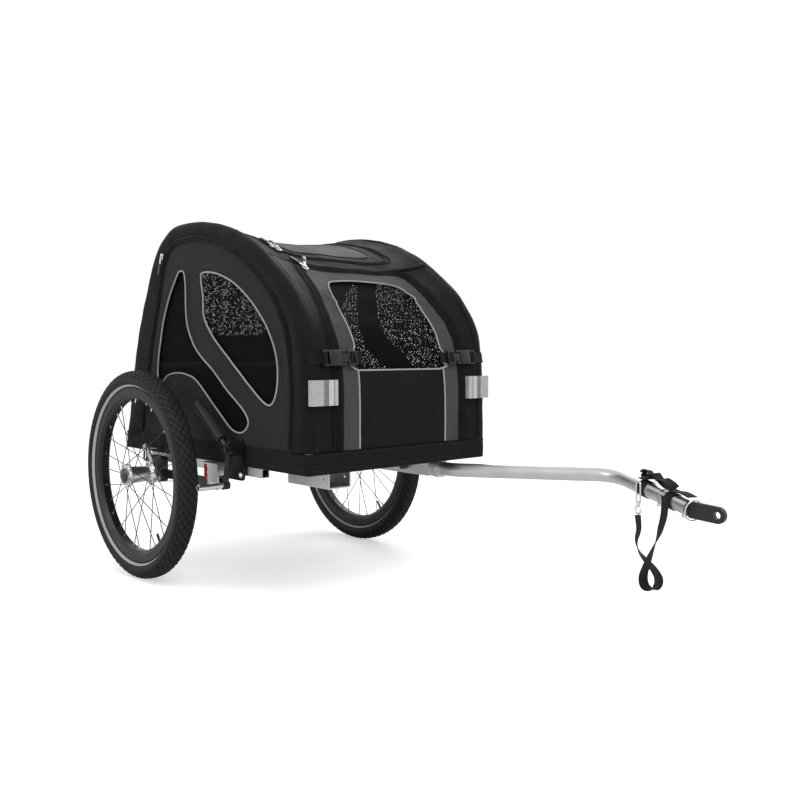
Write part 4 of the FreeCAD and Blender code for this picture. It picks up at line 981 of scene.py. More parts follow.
def side_net_piece(side, name):
    outer = side_outline(roll_corner / 3)
    outer = resampled(outer, 20)
    foot = np.stack([np.linspace(outer[-1, 0], outer[0, 0], 30)[1:-1], np.full(28, outer[0, 1])], -1)
    flat, tris = cut_cloth(np.concatenate([outer, foot]), (), 18)
    y = half_width - skin - 0.9 + 0.5 * waves(flat[:, 0], flat[:, 1], 150, 21)
    points = np.stack([flat[:, 0], y * side, flat[:, 1]], -1)
    piece = mesh_piece("side_net_" + name, points, tris if side < 0 else tris[:, ::-1], uv=flat)
    finish_piece(piece, looks["mesh_black"], "chassis")
    cut_from(piece, flat)
    return piece


side_pieces = [side_cloth_piece(side, name) for side, name in both_sides]
for side, name in both_sides:
    side_details(side, name)
net_pieces = [side_net_piece(side, name) for side, name in both_sides]
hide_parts("side_panels")
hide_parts("side_mesh")


# Padded edges over the hoops
roll_pad = 2.6
roll_pucker = 0.35
roll_wrinkle = 0.5


def edge_roll_piece(side, name):
    along = np.arange(hem_along, rear_hem_along, 3.5)
    point, normal = station(along)
    reach = roll_reach(along)
    side_count, arc_count, top_count = 16, 12, 9
    round_corner = roll_corner + 5
    columns = []
    for share in np.linspace(0, 1, side_count, endpoint=False):
        depth = reach * (1 - share) + round_corner * share
        columns.append((np.full(len(along), half_width), depth, 1.0, 0.0))
    for share in np.linspace(0, 1, arc_count, endpoint=False):
        angle = share * math.pi / 2
        y = half_width - round_corner * (1 - math.cos(angle))
        depth = round_corner * (1 - math.sin(angle))
        columns.append((np.full(len(along), y), np.full(len(along), depth),
                        math.cos(angle), math.sin(angle)))
    for share in np.linspace(0, 1, top_count):
        y = (half_width - round_corner) * (1 - share) + (panel_half + seam_gap) * share
        columns.append((np.full(len(along), y), np.zeros(len(along)), 0.0, 1.0))
    total = len(columns)
    rows = []
    for index, (y, depth, out, up) in enumerate(columns):
        share = index / (total - 1)
        pad = roll_pad * math.sin(math.pi * share) ** 0.6
        near_seam = math.exp(-share * 9) + math.exp(-(1 - share) * 9)
        pucker = roll_pucker * np.sin(along / 2.9 + 3 * np.sin(along / 41)) * near_seam
        wrinkle = waves(along, np.full_like(along, 40.0 * share), 90, 31) * math.sin(math.pi * share)
        wrinkle = roll_wrinkle * wrinkle
        lift = pad + pucker + wrinkle - 1.2
        ripple_depth = depth - lift * up
        ripple_y = (y + lift * out) * side
        lowered = point - normal * ripple_depth[:, None]
        rows.append(np.stack([lowered[:, 0], ripple_y, lowered[:, 1]], -1))
    grid = np.stack(rows, 1)
    uv = np.stack([np.repeat(along, total), np.tile(np.arange(total) * 3.0, len(along))], -1)
    faces = grid_faces(len(along), total)
    faces = faces if side > 0 else faces[:, ::-1]
    points = grid.reshape(-1, 3)
    points[:, 2] = np.maximum(points[:, 2], hem_top + seam_gap)
    piece = mesh_piece("edge_roll_" + name, points, faces, uv=uv)
    thicken(piece, 1.6)
    finish_piece(piece, edge_cloth, "chassis")
    return piece


# The side zip: a tape with two ridges just inside the padded edge
def side_zip_piece(side, name):
    parts = []
    for extra, radius in ((2.5, zip_ridge_radius), (8.0, zip_ridge_radius)):
        ridge = resampled(side_outline(extra), 5)
        points = np.stack([ridge[:, 0], np.full(len(ridge), (half_width + 1.7) * side), ridge[:, 1]], -1)
        parts.append(swept(points, (0, side, 0), ring_section(radius, 8)))
    middle = resampled(side_outline(5.5), 5)
    points = np.stack([middle[:, 0], np.full(len(middle), (half_width + 0.8) * side), middle[:, 1]], -1)
    flat = [(-8, -0.5), (8, -0.5), (8, 0.5), (-8, 0.5)]
    parts.append(swept(points, (0, side, 0), flat))
    finish_piece(mesh_piece("side_zip_" + name, *joined(parts)), tape_black, "chassis")


roll_pieces = [edge_roll_piece(side, name) for side, name in both_sides]
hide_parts("edge_rolls")
for side, name in both_sides:
    side_zip_piece(side, name)


# Hem round the bottom
def rounded_rectangle(x0, x1, y0, y1, radius, step=6.0):
    line = []
    for cx, cy, start in ((x1 - radius, y1 - radius, 0), (x0 + radius, y1 - radius, 90),
                          (x0 + radius, y0 + radius, 180), (x1 - radius, y0 + radius, 270)):
        for angle in np.radians(np.linspace(start, start + 90, 8)):
            line.append((cx + radius * math.cos(angle), cy + radius * math.sin(angle)))
    return resampled(line, step, True)


def hem_piece():
    rim = rounded_rectangle(cabin_rear - skin, cabin_front + 0.3, -half_width - 0.3, half_width + 0.3,
                            hem_corner, hem_step)
    line = np.concatenate([rim, np.zeros((len(rim), 1))], 1)
    profile = [(-2.6, hem_top - 1), (-1.0, hem_top), (0.2, hem_top - 0.6), (0.6, hem_top - 3),
               (0.1, hem_top - 6), (-0.5, hem_top - 7.2), (0.2, hem_top - 9), (0.5, 320),
               (0.6, 312), (0.3, 304), (-0.4, 301.4),
               (0.3, 299.6), (0.2, 296), (-0.8, 293.9), (-3, 293.2), (-10, 293.2), (-23.5, 293.4),
               (-23.8, 294.6), (-10, 294.8), (-3.5, 295.4)]
    count = len(rim)
    places = np.arange(count) * hem_step
    section = np.broadcast_to(np.array(profile), (count, len(profile), 2)).copy()
    ripple = 0.5 * waves(places, places * 0, 70, 12) + 0.25 * waves(places, places * 0, 22, 13)
    section[:, 2:13, 0] += ripple[:, None]
    points, faces = swept(line, (0, 0, 1), section, closed=True, section_closed=False)
    uv = np.stack([np.repeat(places, len(profile)), np.tile(np.arange(len(profile)) * 3.0, count)], -1)
    piece = mesh_piece("bottom_hem_cloth", points, faces, uv=uv)
    finish_piece(piece, edge_cloth, "chassis", ["bottom_hem"])
    cut_from(piece, uv)
    rows = []
    outward = normalised(np.concatenate([loop_offset(rim, 1) - rim, np.zeros((count, 1))], 1))
    for z in (hem_top - 5.0, 303.5):
        height = np.concatenate([rim, np.full((count, 1), z)], 1)
        rows.append(stitches(height + outward * (0.9 + ripple[:, None]), outward, closed=True))
    finish_piece(mesh_piece("hem_stitching", *joined(rows)), thread_dark, "chassis")


hem_piece()


# Front: the door, its window and the cloth beside it
strip_inner = 128.0
strip_outer = 172.0
door_top_half = 158.0
front_z = side_line[:np.argmax(side_line[:, 1]), 1]
front_along = side_along[:len(front_z)]


def along_at_height(z):
    return np.interp(z, front_z, front_along)


# The door's edge as lengths along the outline and places across: up one side, over, down the other
def door_path(inset=0.0):
    low, top = hem_along + 0.5, door_top_along - seam_gap - 4
    corners = [
        (low, -door_half_width + inset), (along_at_height(600), -door_half_width + inset),
        (along_at_height(700), -door_half_width + 16 + inset), (top - inset, -door_top_half + inset),
        (top - inset, door_top_half - inset), (along_at_height(700), door_half_width - 16 - inset),
        (along_at_height(600), door_half_width - inset), (low, door_half_width - inset),
    ]
    return rounded(corners, share=0.42)[0]


def edge_half(along, path):
    half = path[path[:, 1] < 0]
    order = np.argsort(half[:, 0])
    return -np.interp(along, half[order, 0], half[order, 1])


door_window = [
    (-127, 58), (-127, 117), (-125, 177), (-120, 217), (-107, 245), (-83, 260), (0, 269),
    (83, 260), (107, 245), (120, 217), (125, 177), (127, 117), (127, 58),
]


def window_line():
    corners = [(-126, 0)] + door_window + [(126, 0)]
    points = np.array([(window_low_along + up, y) for y, up in corners])
    upper = smooth_loop(points, 8)[:-8]
    lower = np.stack([np.full(26, points[0, 0]), np.linspace(126, -126, 28)[1:-1]], -1)
    return np.concatenate([upper, lower])


# Creases from one place to another, as lengths up from the hem and places across, with their
# width and height
front_creases = [
    (20, -120, 95, -60, 9, 1.6), (30, 118, 120, 70, 9, 1.5), (60, -20, 110, 60, 12, -1.1),
    (8, -158, 60, -140, 6, 1.8), (70, -165, 120, -140, 6, -1.5), (210, -160, 250, -138, 6, 1.6),
    (290, -160, 330, -135, 6, -1.7), (335, -120, 375, -150, 7, 2), (350, 150, 385, 100, 7, 2),
    (330, 165, 360, 130, 6, -1.8), (395, -60, 380, 30, 7, 1.7), (400, 40, 378, 110, 7, -1.5),
    (240, 165, 280, 135, 6, 1.4), (120, 170, 160, 140, 6, 1.3), (372, -150, 395, -118, 5, 2),
    (384, -110, 402, -64, 5, -1.8), (382, 10, 404, 62, 5, 1.9), (376, 80, 398, 128, 5, -1.8),
    (265, -166, 292, -134, 5, 1.8), (245, 170, 262, 134, 5, -1.6), (290, 168, 312, 132, 5, 1.8),
    (30, -172, 66, -128, 6, 1.5), (100, -172, 140, -130, 6, 1.4), (150, -170, 185, -132, 6, -1.3),
    (165, 172, 200, 130, 6, 1.5), (205, 170, 235, 134, 6, -1.4), (40, 172, 75, 132, 6, 1.4),
]


# Height of the front cloth above its smooth place
def front_height(flat):
    a, y = flat[:, 0], flat[:, 1]
    height = 0.8 * waves(a, y, 170, 41) + 0.3 * waves(a, y, 55, 42)
    low = along_at_height(340)
    height += creases(a - low, y, front_creases, 0.8, 1.7)
    return height


on_front = on_skin(front_height)


def front_door():
    outer = resampled(door_path(0.3), 6)
    foot = np.stack([np.full(60, outer[0, 0]), np.linspace(outer[-1, 1], outer[0, 1], 62)[1:-1]], -1)
    hole = resampled(window_line(), 5, True)
    low = outer[0, 0]
    seams = [np.linspace((low + 1, s * strip_inner), (window_low_along - 1, s * strip_inner), 26)
             for s in (-1, 1)]
    flat, tris = cut_cloth(np.concatenate([outer, foot]), [hole], 6.0, seams)
    points, _ = on_front(flat, -0.2)
    piece = mesh_piece("front_door_cloth", points, tris[:, ::-1], uv=flat)
    for material in (edge_cloth, strip_grey):
        piece.data.materials.append(material)
    middle = flat[tris].mean(1)
    limit = edge_half(middle[:, 0], door_path(0.3)) - (door_half_width - strip_outer)
    grey = (np.abs(middle[:, 1]) > strip_inner) | (middle[:, 0] > window_low_along)
    grey &= np.abs(middle[:, 1]) < limit
    grey &= middle[:, 0] < door_top_along - 15
    piece.data.polygons.foreach_set("material_index", grey.astype(int))
    thicken(piece, 1.4)
    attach(piece, "front_door")
    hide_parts("front_flap")
    cut_from(piece, flat)

    window = resampled(window_line(), 4, True)
    line, up = on_front(window, 0.6)
    parts = [swept(line, up, ring_section(piping_radius, 8), closed=True)]
    for s in (-1, 1):
        flat = np.linspace((low + 1, s * strip_inner), (window_low_along, s * strip_inner), 60)
        line, up = on_front(flat, 0.6)
        parts.append(swept(line, up, ring_section(piping_radius, 8)))
    finish_piece(mesh_piece("front_piping", *joined(parts)), piping_grey, "front_door")
    rows = []
    for s in (-1, 1):
        for y in (strip_inner + 5, strip_outer - 4, strip_outer - 8):
            if s < 0 and y == strip_outer - 8:
                continue
            flat = np.linspace((low + 3, s * y), (along_at_height(600), s * y), 90)
            line, up = on_front(flat, 0.3)
            rows.append(stitches(line, up))
    around = resampled(loop_offset(resampled(window_line(), 6, True), 7.0), 5, True)
    around = around[around[:, 0] > window_low_along + 4]
    order = np.argsort(np.arctan2(around[:, 1], around[:, 0] - window_low_along))
    line, up = on_front(around[order], 0.3)
    rows.append(stitches(line, up))
    finish_piece(mesh_piece("front_stitching", *joined(rows)),
                 thread_light, "front_door")


front_door()


def door_net():
    low = along_at_height(window_bottom - 8)
    a = np.linspace(low, door_top_along - 10, 40)
    y = np.linspace(-135, 135, 28)
    grid_a, grid_y = np.meshgrid(a, y, indexing="ij")
    flat = np.stack([grid_a.ravel(), grid_y.ravel()], -1)
    points = skin_points(flat[:, 0], flat[:, 1], skin + 1.2 - 0.4 * waves(flat[:, 0], flat[:, 1], 120, 51))
    piece = mesh_piece("door_net", points, grid_faces(40, 28), uv=flat)
    finish_piece(piece, looks["mesh_black"], "front_door", ["front_window"])
    cut_from(piece, flat)


door_net()


# Cloth between the door's zip and the padded edges, up to the seam at the roof
def surround_piece(side, name):
    path = door_path(-0.2)
    a = np.arange(hem_along, door_top_along + 0.1, 5.0)
    inner = np.minimum(edge_half(a, path), door_half_width + 0.2)
    shares = np.linspace(0, 1, 12)
    grid_y = inner[:, None] * (1 - shares) + panel_half * shares
    grid_a = np.repeat(a[:, None], len(shares), 1)
    flat = np.stack([grid_a.ravel(), grid_y.ravel() * side], -1)
    points, _ = on_front(flat, -0.2)
    faces = grid_faces(len(a), len(shares))
    piece = mesh_piece("front_surround_" + name, points, faces if side > 0 else faces[:, ::-1], uv=flat)
    thicken(piece, 1.4)
    finish_piece(piece, edge_cloth, "chassis")
    cut_from(piece, flat[np.abs(flat[:, 1]) > 110])
    return piece


surrounds = [surround_piece(side, name) for side, name in both_sides]
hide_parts("front_surround")


def front_zip(offsets, name, body):
    parts = []
    for offset, radius, lift in offsets:
        flat = resampled(door_path(-offset), 5)
        line, up = on_front(flat, lift)
        parts.append(swept(line, up, ring_section(radius, 8)))
    finish_piece(mesh_piece(name, *joined(parts)), tape_black, body)


front_zip([(3.0, zip_ridge_radius, 0.4), (8.0, 2.0, 0.3), (14.0, 1.3, 0.2)], "door_zip_outer", "chassis")
front_zip([(-4.0, zip_ridge_radius, 0.4), (-9.5, 1.2, 0.2)], "door_zip_inner", "front_door")


# The edge of a panel between the padded edges, from one length along the outline to another
def panel_rim(low, high):
    corners = [(low, -panel_half), (high, -panel_half), (high, panel_half), (low, panel_half)]
    return resampled(corners + corners[:1], 8)[:-1]


# Roof with its hatch
roof_creases = [
    (10, -200, 60, -120, 9, 2), (12, 60, 40, 150, 9, 1.8), (25, -60, 30, 40, 8, 1.6),
    (55, -130, 75, 120, 7, 1.5), (90, -190, 75, -60, 7, -1.4),
]


def roof_height(flat):
    a, y = flat[:, 0], flat[:, 1]
    height = 1.1 * waves(a, y, 210, 61) + 0.4 * waves(a, y, 70, 62)
    height += creases(a - door_top_along, y, roof_creases)
    return height


on_roof = on_skin(roof_height)


hatch_low = along_where(lambda x, z: x <= hatch_front, door_top_along)
hatch_high = along_where(lambda x, z: x <= hatch_rear, door_top_along)


def hatch_loop(inset, corner=34.0):
    return rounded_rectangle(hatch_low + inset, hatch_high - inset, -hatch_half_width + inset,
                             hatch_half_width - inset, corner)


def roof_pieces():
    flat, tris = cut_cloth(panel_rim(door_top_along + seam_gap, rear_top_along), [hatch_loop(0.0)], 8.0)
    points, _ = on_roof(flat, -0.2)
    roof = mesh_piece("roof_cloth", points, tris[:, ::-1], uv=flat)
    thicken(roof, 1.4)
    finish_piece(roof, edge_cloth, "chassis", ["roof_panel"])
    cut_from(roof, flat)
    flat, tris = cut_cloth(hatch_loop(0.6), (), 8.0)
    points, _ = on_roof(flat, -0.2)
    hatch = mesh_piece("hatch_cloth", points, tris[:, ::-1], uv=flat)
    thicken(hatch, 1.4)
    for material in (roof_grey, edge_cloth):
        hatch.data.materials.append(material)
    middle = flat[tris].mean(1)
    border = ~inside(middle, hatch_loop(38.0, 22.0))
    hatch.data.polygons.foreach_set("material_index", border.astype(int))
    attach(hatch, "roof_vent")
    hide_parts("roof_hatch")
    cut_from(hatch, flat)
    for inset, radius, lift, name, body in (
        (-5.0, 1.8, 0.4, "hatch_zip_outer", "chassis"), (5.0, 1.8, 0.4, "hatch_zip_inner", "roof_vent"),
        (37.0, 1.4, 0.3, "hatch_welt", "roof_vent"),
    ):
        line, up = on_roof(resampled(hatch_loop(inset), 6, True), lift)
        finish_piece(mesh_piece(name, *swept(line, up, ring_section(radius, 8), closed=True)),
                     tape_black, body)
    seam = np.linspace((door_top_along + 2, -panel_half), (door_top_along + 2, panel_half), 70)
    line, up = on_roof(seam, 0.8)
    welt = swept(line, up, ring_section(2.2, 8))
    seam[:, 0] += 9
    line, up = on_roof(seam, 0.4)
    finish_piece(mesh_piece("roof_seam", *joined([welt, swept(line, up, tape_section)])),
                 tape_black, "chassis")


roof_pieces()


# Rear panel with its pocket
pocket_half = 150.0


rear_top_creases = [
    (30, -210, 90, -170, 9, 2), (30, 205, 80, 175, 9, 1.8), (10, -60, 16, 80, 7, 1.5),
]
rear_foot_creases = [
    (-90, -190, -30, -120, 10, 2.2), (-80, 60, -20, 150, 10, -1.8),
]


def rear_height(flat):
    a, y = flat[:, 0], flat[:, 1]
    height = 1.2 * waves(a, y, 190, 71) + 0.4 * waves(a, y, 65, 72)
    height += creases(a - rear_top_along, y, rear_top_creases)
    height += creases(a - rear_hem_along, y, rear_foot_creases)
    return height


on_rear = on_skin(rear_height)


def skin_grid(name, low, high, y_low, y_high, mapping, lift, spacing=7.0):
    a = np.linspace(low, high, max(3, int((high - low) / spacing)))
    y = np.linspace(y_low, y_high, max(3, int((y_high - y_low) / spacing)))
    grid_a, grid_y = np.meshgrid(a, y, indexing="ij")
    flat = np.stack([grid_a.ravel(), grid_y.ravel()], -1)
    rise = lift(flat) if callable(lift) else lift
    points, _ = mapping(flat, rise)
    return mesh_piece(name, points, grid_faces(len(a), len(y)), uv=flat), flat


# Heights on the back, and the inner edge of its reflectors, which the fold stays clear of
rear_window_low = down_the_back(772)
rear_window_high = down_the_back(592)
rear_window_half = 126.0
pocket_low = down_the_back(560)
pocket_high = down_the_back(400)
fold_start = down_the_back(700)
fold_lift = 13.0
reflector_inner = 176.0


def rear_window_loop(grow=0.0):
    return rounded_rectangle(rear_window_low - grow, rear_window_high + grow, -rear_window_half - grow,
                             rear_window_half + grow, 30.0 + grow)


# The cover that hangs beside and under the window stands out in a soft fold
def rear_fold(flat):
    rim = rear_window_loop(24.0)
    down = smooth_step(flat[:, 0], fold_start, fold_start + 12)
    down = down * (1 - smooth_step(flat[:, 0], rear_hem_along - 50, rear_hem_along - 8))
    away = smooth_step(loop_distance(flat, rim[::3]), 0, 26) * ~inside(flat, rim)
    edge = 1 - smooth_step(np.abs(flat[:, 1]), reflector_inner - 20, reflector_inner - 4)
    return fold_lift * down * away * edge - 0.2


def rear_pieces():
    flat, tris = cut_cloth(panel_rim(rear_top_along + seam_gap, rear_hem_along), [rear_window_loop()], 7.0)
    points, _ = on_rear(flat, rear_fold(flat))
    piece = mesh_piece("rear_cloth", points, tris[:, ::-1], uv=flat)
    thicken(piece, 1.4)
    finish_piece(piece, edge_cloth, "chassis", ["rear_panel"])
    cut_from(piece, flat)
    net, net_flat = skin_grid("rear_net", rear_window_low - 12, rear_window_high + 12,
                              -rear_window_half - 12, rear_window_half + 12, on_rear, -3.6, 9.0)
    finish_piece(net, looks["mesh_black"], "chassis")
    cut_from(net, net_flat)
    line, up = on_rear(resampled(rear_window_loop(), 5, True), 0.6)
    finish_piece(mesh_piece("rear_piping", *swept(line, up, ring_section(piping_radius, 8), closed=True)),
                 piping_grey, "chassis")

    def bulge(flat):
        share = (flat[:, 0] - pocket_low) / (pocket_high - pocket_low)
        down = np.clip(share, 0, 1)
        rise = 16 * np.sin(math.pi * down ** 0.8) ** 0.55
        across = np.clip(1 - np.abs(flat[:, 1] / pocket_half) ** 5, 0, 1)
        return 1.0 + fold_lift + rise * across + 0.8 * waves(flat[:, 0], flat[:, 1], 80, 75)

    pocket, pocket_flat = skin_grid("rear_pocket_cloth", pocket_low, pocket_high, -pocket_half, pocket_half,
                                    on_rear, bulge, 6.0)
    thicken(pocket, 1.4)
    finish_piece(pocket, edge_cloth, "chassis")
    cut_from(pocket, pocket_flat)

    def flap(flat):
        drop = smooth_step(flat[:, 0], pocket_low - 16, pocket_low + 40)
        across = np.clip(1 - np.abs(flat[:, 1] / (pocket_half + 10)) ** 6, 0, 1)
        under = bulge(np.stack([np.maximum(flat[:, 0], pocket_low + 1), flat[:, 1]], -1))
        return 1.2 + fold_lift + (under - fold_lift + 0.6) * drop * across

    cover, cover_flat = skin_grid("rear_pocket_flap", pocket_low - 16, pocket_low + 52, -pocket_half - 5,
                                  pocket_half + 5, on_rear, flap, 5.0)
    thicken(cover, 1.4)
    finish_piece(cover, side_cloth, "chassis")
    cut_from(cover, cover_flat)
    rows = []
    parts = []
    for y in (-pocket_half - 3, pocket_half + 3):
        flat = np.linspace((pocket_low, y), (pocket_high, y), 60)
        line, up = on_rear(flat, 1.2 + fold_lift)
        parts.append(swept(line, up, binding_section))
        rows.append(stitches(line + up * 0.8, up))
    flat = np.linspace((pocket_high, -pocket_half - 8), (pocket_high, pocket_half + 8), 60)
    line, up = on_rear(flat, 1.2 + fold_lift)
    parts.append(swept(line, up, binding_section))
    rows.append(stitches(line + up * 0.8, up))
    flat = np.linspace((rear_top_along + 2, -panel_half), (rear_top_along + 2, panel_half), 70)
    line, up = on_rear(flat, 0.8)
    parts.append(swept(line, up, ring_section(2.2, 8)))
    flat[:, 0] += 9
    line, up = on_rear(flat, 0.4)
    parts.append(swept(line, up, tape_section))
    finish_piece(mesh_piece("rear_binding", *joined(parts)), tape_black, "chassis")
    finish_piece(mesh_piece("rear_stitching", *joined(rows)), thread_dark, "chassis")


rear_pieces()


# Tyres with a crossed tread, painted shade in its grooves, and a light stripe on each wall
wheel_radius = 250.0
half_track = 344.5
tyre_turns = 960
diamonds_round = 72
diamond_across = 17.0
groove_depth = 1.6
groove_half_width = 1.35
tread_half = 34.0
stripe_inner = 212.6
stripe_outer = 217.2


def smooth_open(points, spacing):
    points = np.asarray(points, float)
    padded = np.concatenate([[2 * points[0] - points[1]], points, [2 * points[-1] - points[-2]]])
    result = []
    for p0, p1, p2, p3 in zip(padded, padded[1:], padded[2:], padded[3:]):
        for t in np.arange(12) / 12:
            result.append(spline(p0, p1, p2, p3, t))
    result.append(points[-1])
    return resampled(result, spacing)


def tyre_piece(side, name):
    half = [(201.6, 12.4), (209.6, 12.6), (219, 22.5), (229, 25), (240, 21), (247.8, 13.5)]
    line = smooth_open(half + [(wheel_radius, 0)] + [(r, -y) for r, y in reversed(half)], 1.35)
    tangent = normalised(np.gradient(line, axis=0))
    normal = np.stack([-tangent[:, 1], tangent[:, 0]], -1)
    if normal[len(line) // 2, 0] < 0:
        normal = -normal
    along = np.append(0, np.cumsum(np.linalg.norm(np.diff(line, axis=0), axis=1)))
    across = along - along[-1] / 2
    turns = tyre_turns
    theta = np.linspace(0, 2 * math.pi, turns, endpoint=False)
    phase = theta[:, None] * diamonds_round / (2 * math.pi)
    pitch = 2 * math.pi * wheel_radius / diamonds_round
    slope = math.hypot(1 / pitch, 1 / diamond_across)
    groove = np.zeros((turns, len(line)))
    for way in (-1, 1):
        value = phase + way * across[None] / diamond_across
        off = np.abs(value - np.round(value)) / slope
        groove = np.maximum(groove, np.exp(-(off / groove_half_width) ** 4))
    fade = 1 - smooth_step(np.abs(across), tread_half - 2, tread_half)
    ring = 0.5 * np.exp(-((np.abs(across) - tread_half - 2.5) / 1.1) ** 2)
    ring += 0.35 * np.exp(-((line[:, 0] - stripe_outer - 1.5) / 0.9) ** 2)
    ring += 0.35 * np.exp(-((line[:, 0] - stripe_inner + 1.2) / 0.8) ** 2)
    lift = ring[None] - groove * fade[None] * groove_depth
    radius = line[:, 0][None] + normal[:, 0][None] * lift
    width = line[:, 1][None] + normal[:, 1][None] * lift
    inner = np.array([(205, -9.5), (216, -18), (228, -20.5), (238, -17), (244.5, -9), (245.5, 0),
                      (244.5, 9), (238, 17), (228, 20.5), (216, 18), (205, 9.5)])
    radius = np.concatenate([radius, np.broadcast_to(inner[:, 0], (turns, len(inner)))], 1)
    width = np.concatenate([width, np.broadcast_to(inner[:, 1], (turns, len(inner)))], 1)
    points = np.stack([radius * np.cos(theta)[:, None], width + half_track * side,
                       wheel_radius + radius * np.sin(theta)[:, None]], -1)
    columns = radius.shape[1]
    faces = grid_faces(turns, columns, True, True)
    piece = mesh_piece("tyre_tread_" + name, points.reshape(-1, 3), faces)
    middle = 0.5 * (line[:-1] + line[1:])
    stripe = (middle[:, 0] > stripe_inner) & (middle[:, 0] < stripe_outer)
    index = np.zeros((turns, columns), int)
    index[:, :len(stripe)] = stripe
    # Faces deep in a groove take the near-black rubber: painted shade in the grooves
    cut = groove * fade[None]
    index[:, :len(stripe)][(cut[:, :-1] + np.roll(cut, -1, 0)[:, 1:]) > 1.1] = 2
    for material in (looks["tyre"], stripe_white, groove_painted_shade):
        piece.data.materials.append(material)
    piece.data.polygons.foreach_set("material_index", index.ravel())
    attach(piece, "wheel_" + name)
    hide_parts("tyre_" + name)


for side, name in both_sides:
    tyre_piece(side, name)


# A block with rounded edges, in its own three directions
def rounded_block(low, high, radius, segments=3):
    mesh = bmesh.new()
    bmesh.ops.create_cube(mesh, size=1.0)
    low, high = np.array(low, float), np.array(high, float)
    size, centre = high - low, (low + high) / 2
    for vertex in mesh.verts:
        vertex.co = Vector(np.array(vertex.co) * size + centre)
    bmesh.ops.bevel(mesh, geom=list(mesh.edges), offset=radius, segments=segments, profile=0.5,
                    affect="EDGES", clamp_overlap=True)
    mesh.verts.index_update()
    points = np.array([v.co for v in mesh.verts])
    faces = [[v.index for v in face.verts] for face in mesh.faces]
    mesh.free()
    return points, faces


def placed(part, origin, forward, across, up):
    points, faces = part
    basis = np.stack([forward, across, up])
    return np.asarray(points) @ basis + np.asarray(origin, float), faces


# Door buckles on their webbing
buckle_middle_z = 531.0
buckle_inner_y = 137.0
buckle_outer_y = 226.0
buckle_height = 34.0
webbing_width = 25.0
front_tilt = math.radians(12.0)


def buckle_place(side):
    along = along_at_height(buckle_middle_z)
    ends = np.array([buckle_inner_y, buckle_outer_y])
    crown = skin_points(np.full(2, along), ends)[:, 0].max()
    origin = np.array([crown, 0, buckle_middle_z])
    out = np.array([math.cos(front_tilt), 0, math.sin(front_tilt)])
    up = np.array([-math.sin(front_tilt), 0, math.cos(front_tilt)])
    return origin, np.array([0, side, 0.0]), up, out


def buckle_pieces(side, name):
    origin, across, up, out = buckle_place(side)
    half = buckle_height / 2
    parts = []

    def add(y0, y1, u0, u1, o0, o1, radius):
        parts.append(placed(rounded_block((y0, u0, o0), (y1, u1, o1), radius), origin, across, up, out))

    split = buckle_inner_y + 38
    add(split + 3, buckle_outer_y - 16, -half, half, 2.6, 12.4, 3.2)
    add(split + 6, buckle_outer_y - 22, -half + 5, half - 5, 11.6, 13.2, 0.8)
    add(buckle_outer_y - 17, buckle_outer_y, -half, -half + 5, 3.2, 10.5, 1.6)
    add(buckle_outer_y - 17, buckle_outer_y, half - 5, half, 3.2, 10.5, 1.6)
    for y in (buckle_outer_y - 4.5, buckle_outer_y - 11):
        add(y, y + 4, -half + 2, half - 2, 4.2, 10.8, 1.4)
    add(buckle_inner_y, split - 14, -half + 1, -half + 6, 3.2, 10.2, 1.6)
    add(buckle_inner_y, split - 14, half - 6, half - 1, 3.2, 10.2, 1.6)
    for y in (buckle_inner_y, buckle_inner_y + 9, buckle_inner_y + 18):
        add(y, y + 4.2, -half + 3, half - 3, 3.6, 10.6, 1.5)
    add(split - 16, split + 4, -half + 7, half - 7, 4.0, 9.6, 1.8)
    for way in (-1, 1):
        low, high = sorted((way * (half - 6.4), way * (half - 0.6)))
        add(split - 10, split + 5, low, high, 4.0, 10.4, 1.8)
    points, faces = joined(parts)
    if side < 0:
        faces = [list(reversed(face)) for face in faces]
    piece = mesh_piece("door_buckle_" + name, points, faces)
    finish_piece(piece, looks["buckle_black"], "front_door")

    def ribbon(stops, label, body, node=()):
        line = smooth_open([(y, o) for y, o in stops], 3.0)
        spine = origin + line[:, :1] * across + line[:, 1:] * out
        section = np.array(webbing_section(webbing_width, 1.7))
        strip_points, strip_faces = swept(spine, out, section)
        ribbon_piece = mesh_piece(label + name, strip_points, strip_faces)
        finish_piece(ribbon_piece, tape_black, body, node)
        return ribbon_piece

    ribbon([(buckle_inner_y - 20, 2.2), (buckle_inner_y - 4, 2.6), (buckle_inner_y + 6, 6.4),
            (buckle_inner_y + 13, 11.2), (buckle_inner_y + 17, 7.0), (buckle_inner_y + 22, 4.4)],
           "buckle_tail_", "front_door")
    return ribbon([(buckle_outer_y - 9, 12.0), (buckle_outer_y - 2, 11.8), (buckle_outer_y + 5, 6.5),
                   (buckle_outer_y + 14, 3.2), (half_width - 12, 2.0), (half_width - 5, 0.2)],
                  "buckle_anchor_", "chassis")


anchors = [buckle_pieces(side, name) for side, name in both_sides]
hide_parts("buckle_anchors")
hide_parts("buckles")


# Zip sliders with their pulls
def slider_parts(place, forward, up):
    forward, up = normalised(np.array(forward, float)), normalised(np.array(up, float))
    across = np.cross(up, forward)
    metal = [
        placed(rounded_block((-8, -6, 0.2), (7, 6, 4.2), 1.6), place, forward, across, up),
        placed(rounded_block((-5.5, -2, 3.6), (6, 2, 7.0), 1.6), place, forward, across, up),
        placed(rounded_block((5, -3.6, 4.2), (18, 3.6, 6.4), 0.9), place, forward, across, up),
    ]
    cord = placed(rounded_block((16, -4.6, 3.0), (44, 4.6, 7.0), 1.8), place, forward, across, up)
    return metal, cord


def surface_slider(along, y, turn_deg, mapping, lift=1.0):
    points, ups = mapping(np.array([[along, y]]), lift)
    up = ups[0]
    forward = np.cross(up, (0, 1, 0)) * -1
    angle = math.radians(turn_deg)
    return slider_parts(points[0], forward * math.cos(angle) + np.array([0, math.sin(angle), 0]), up)


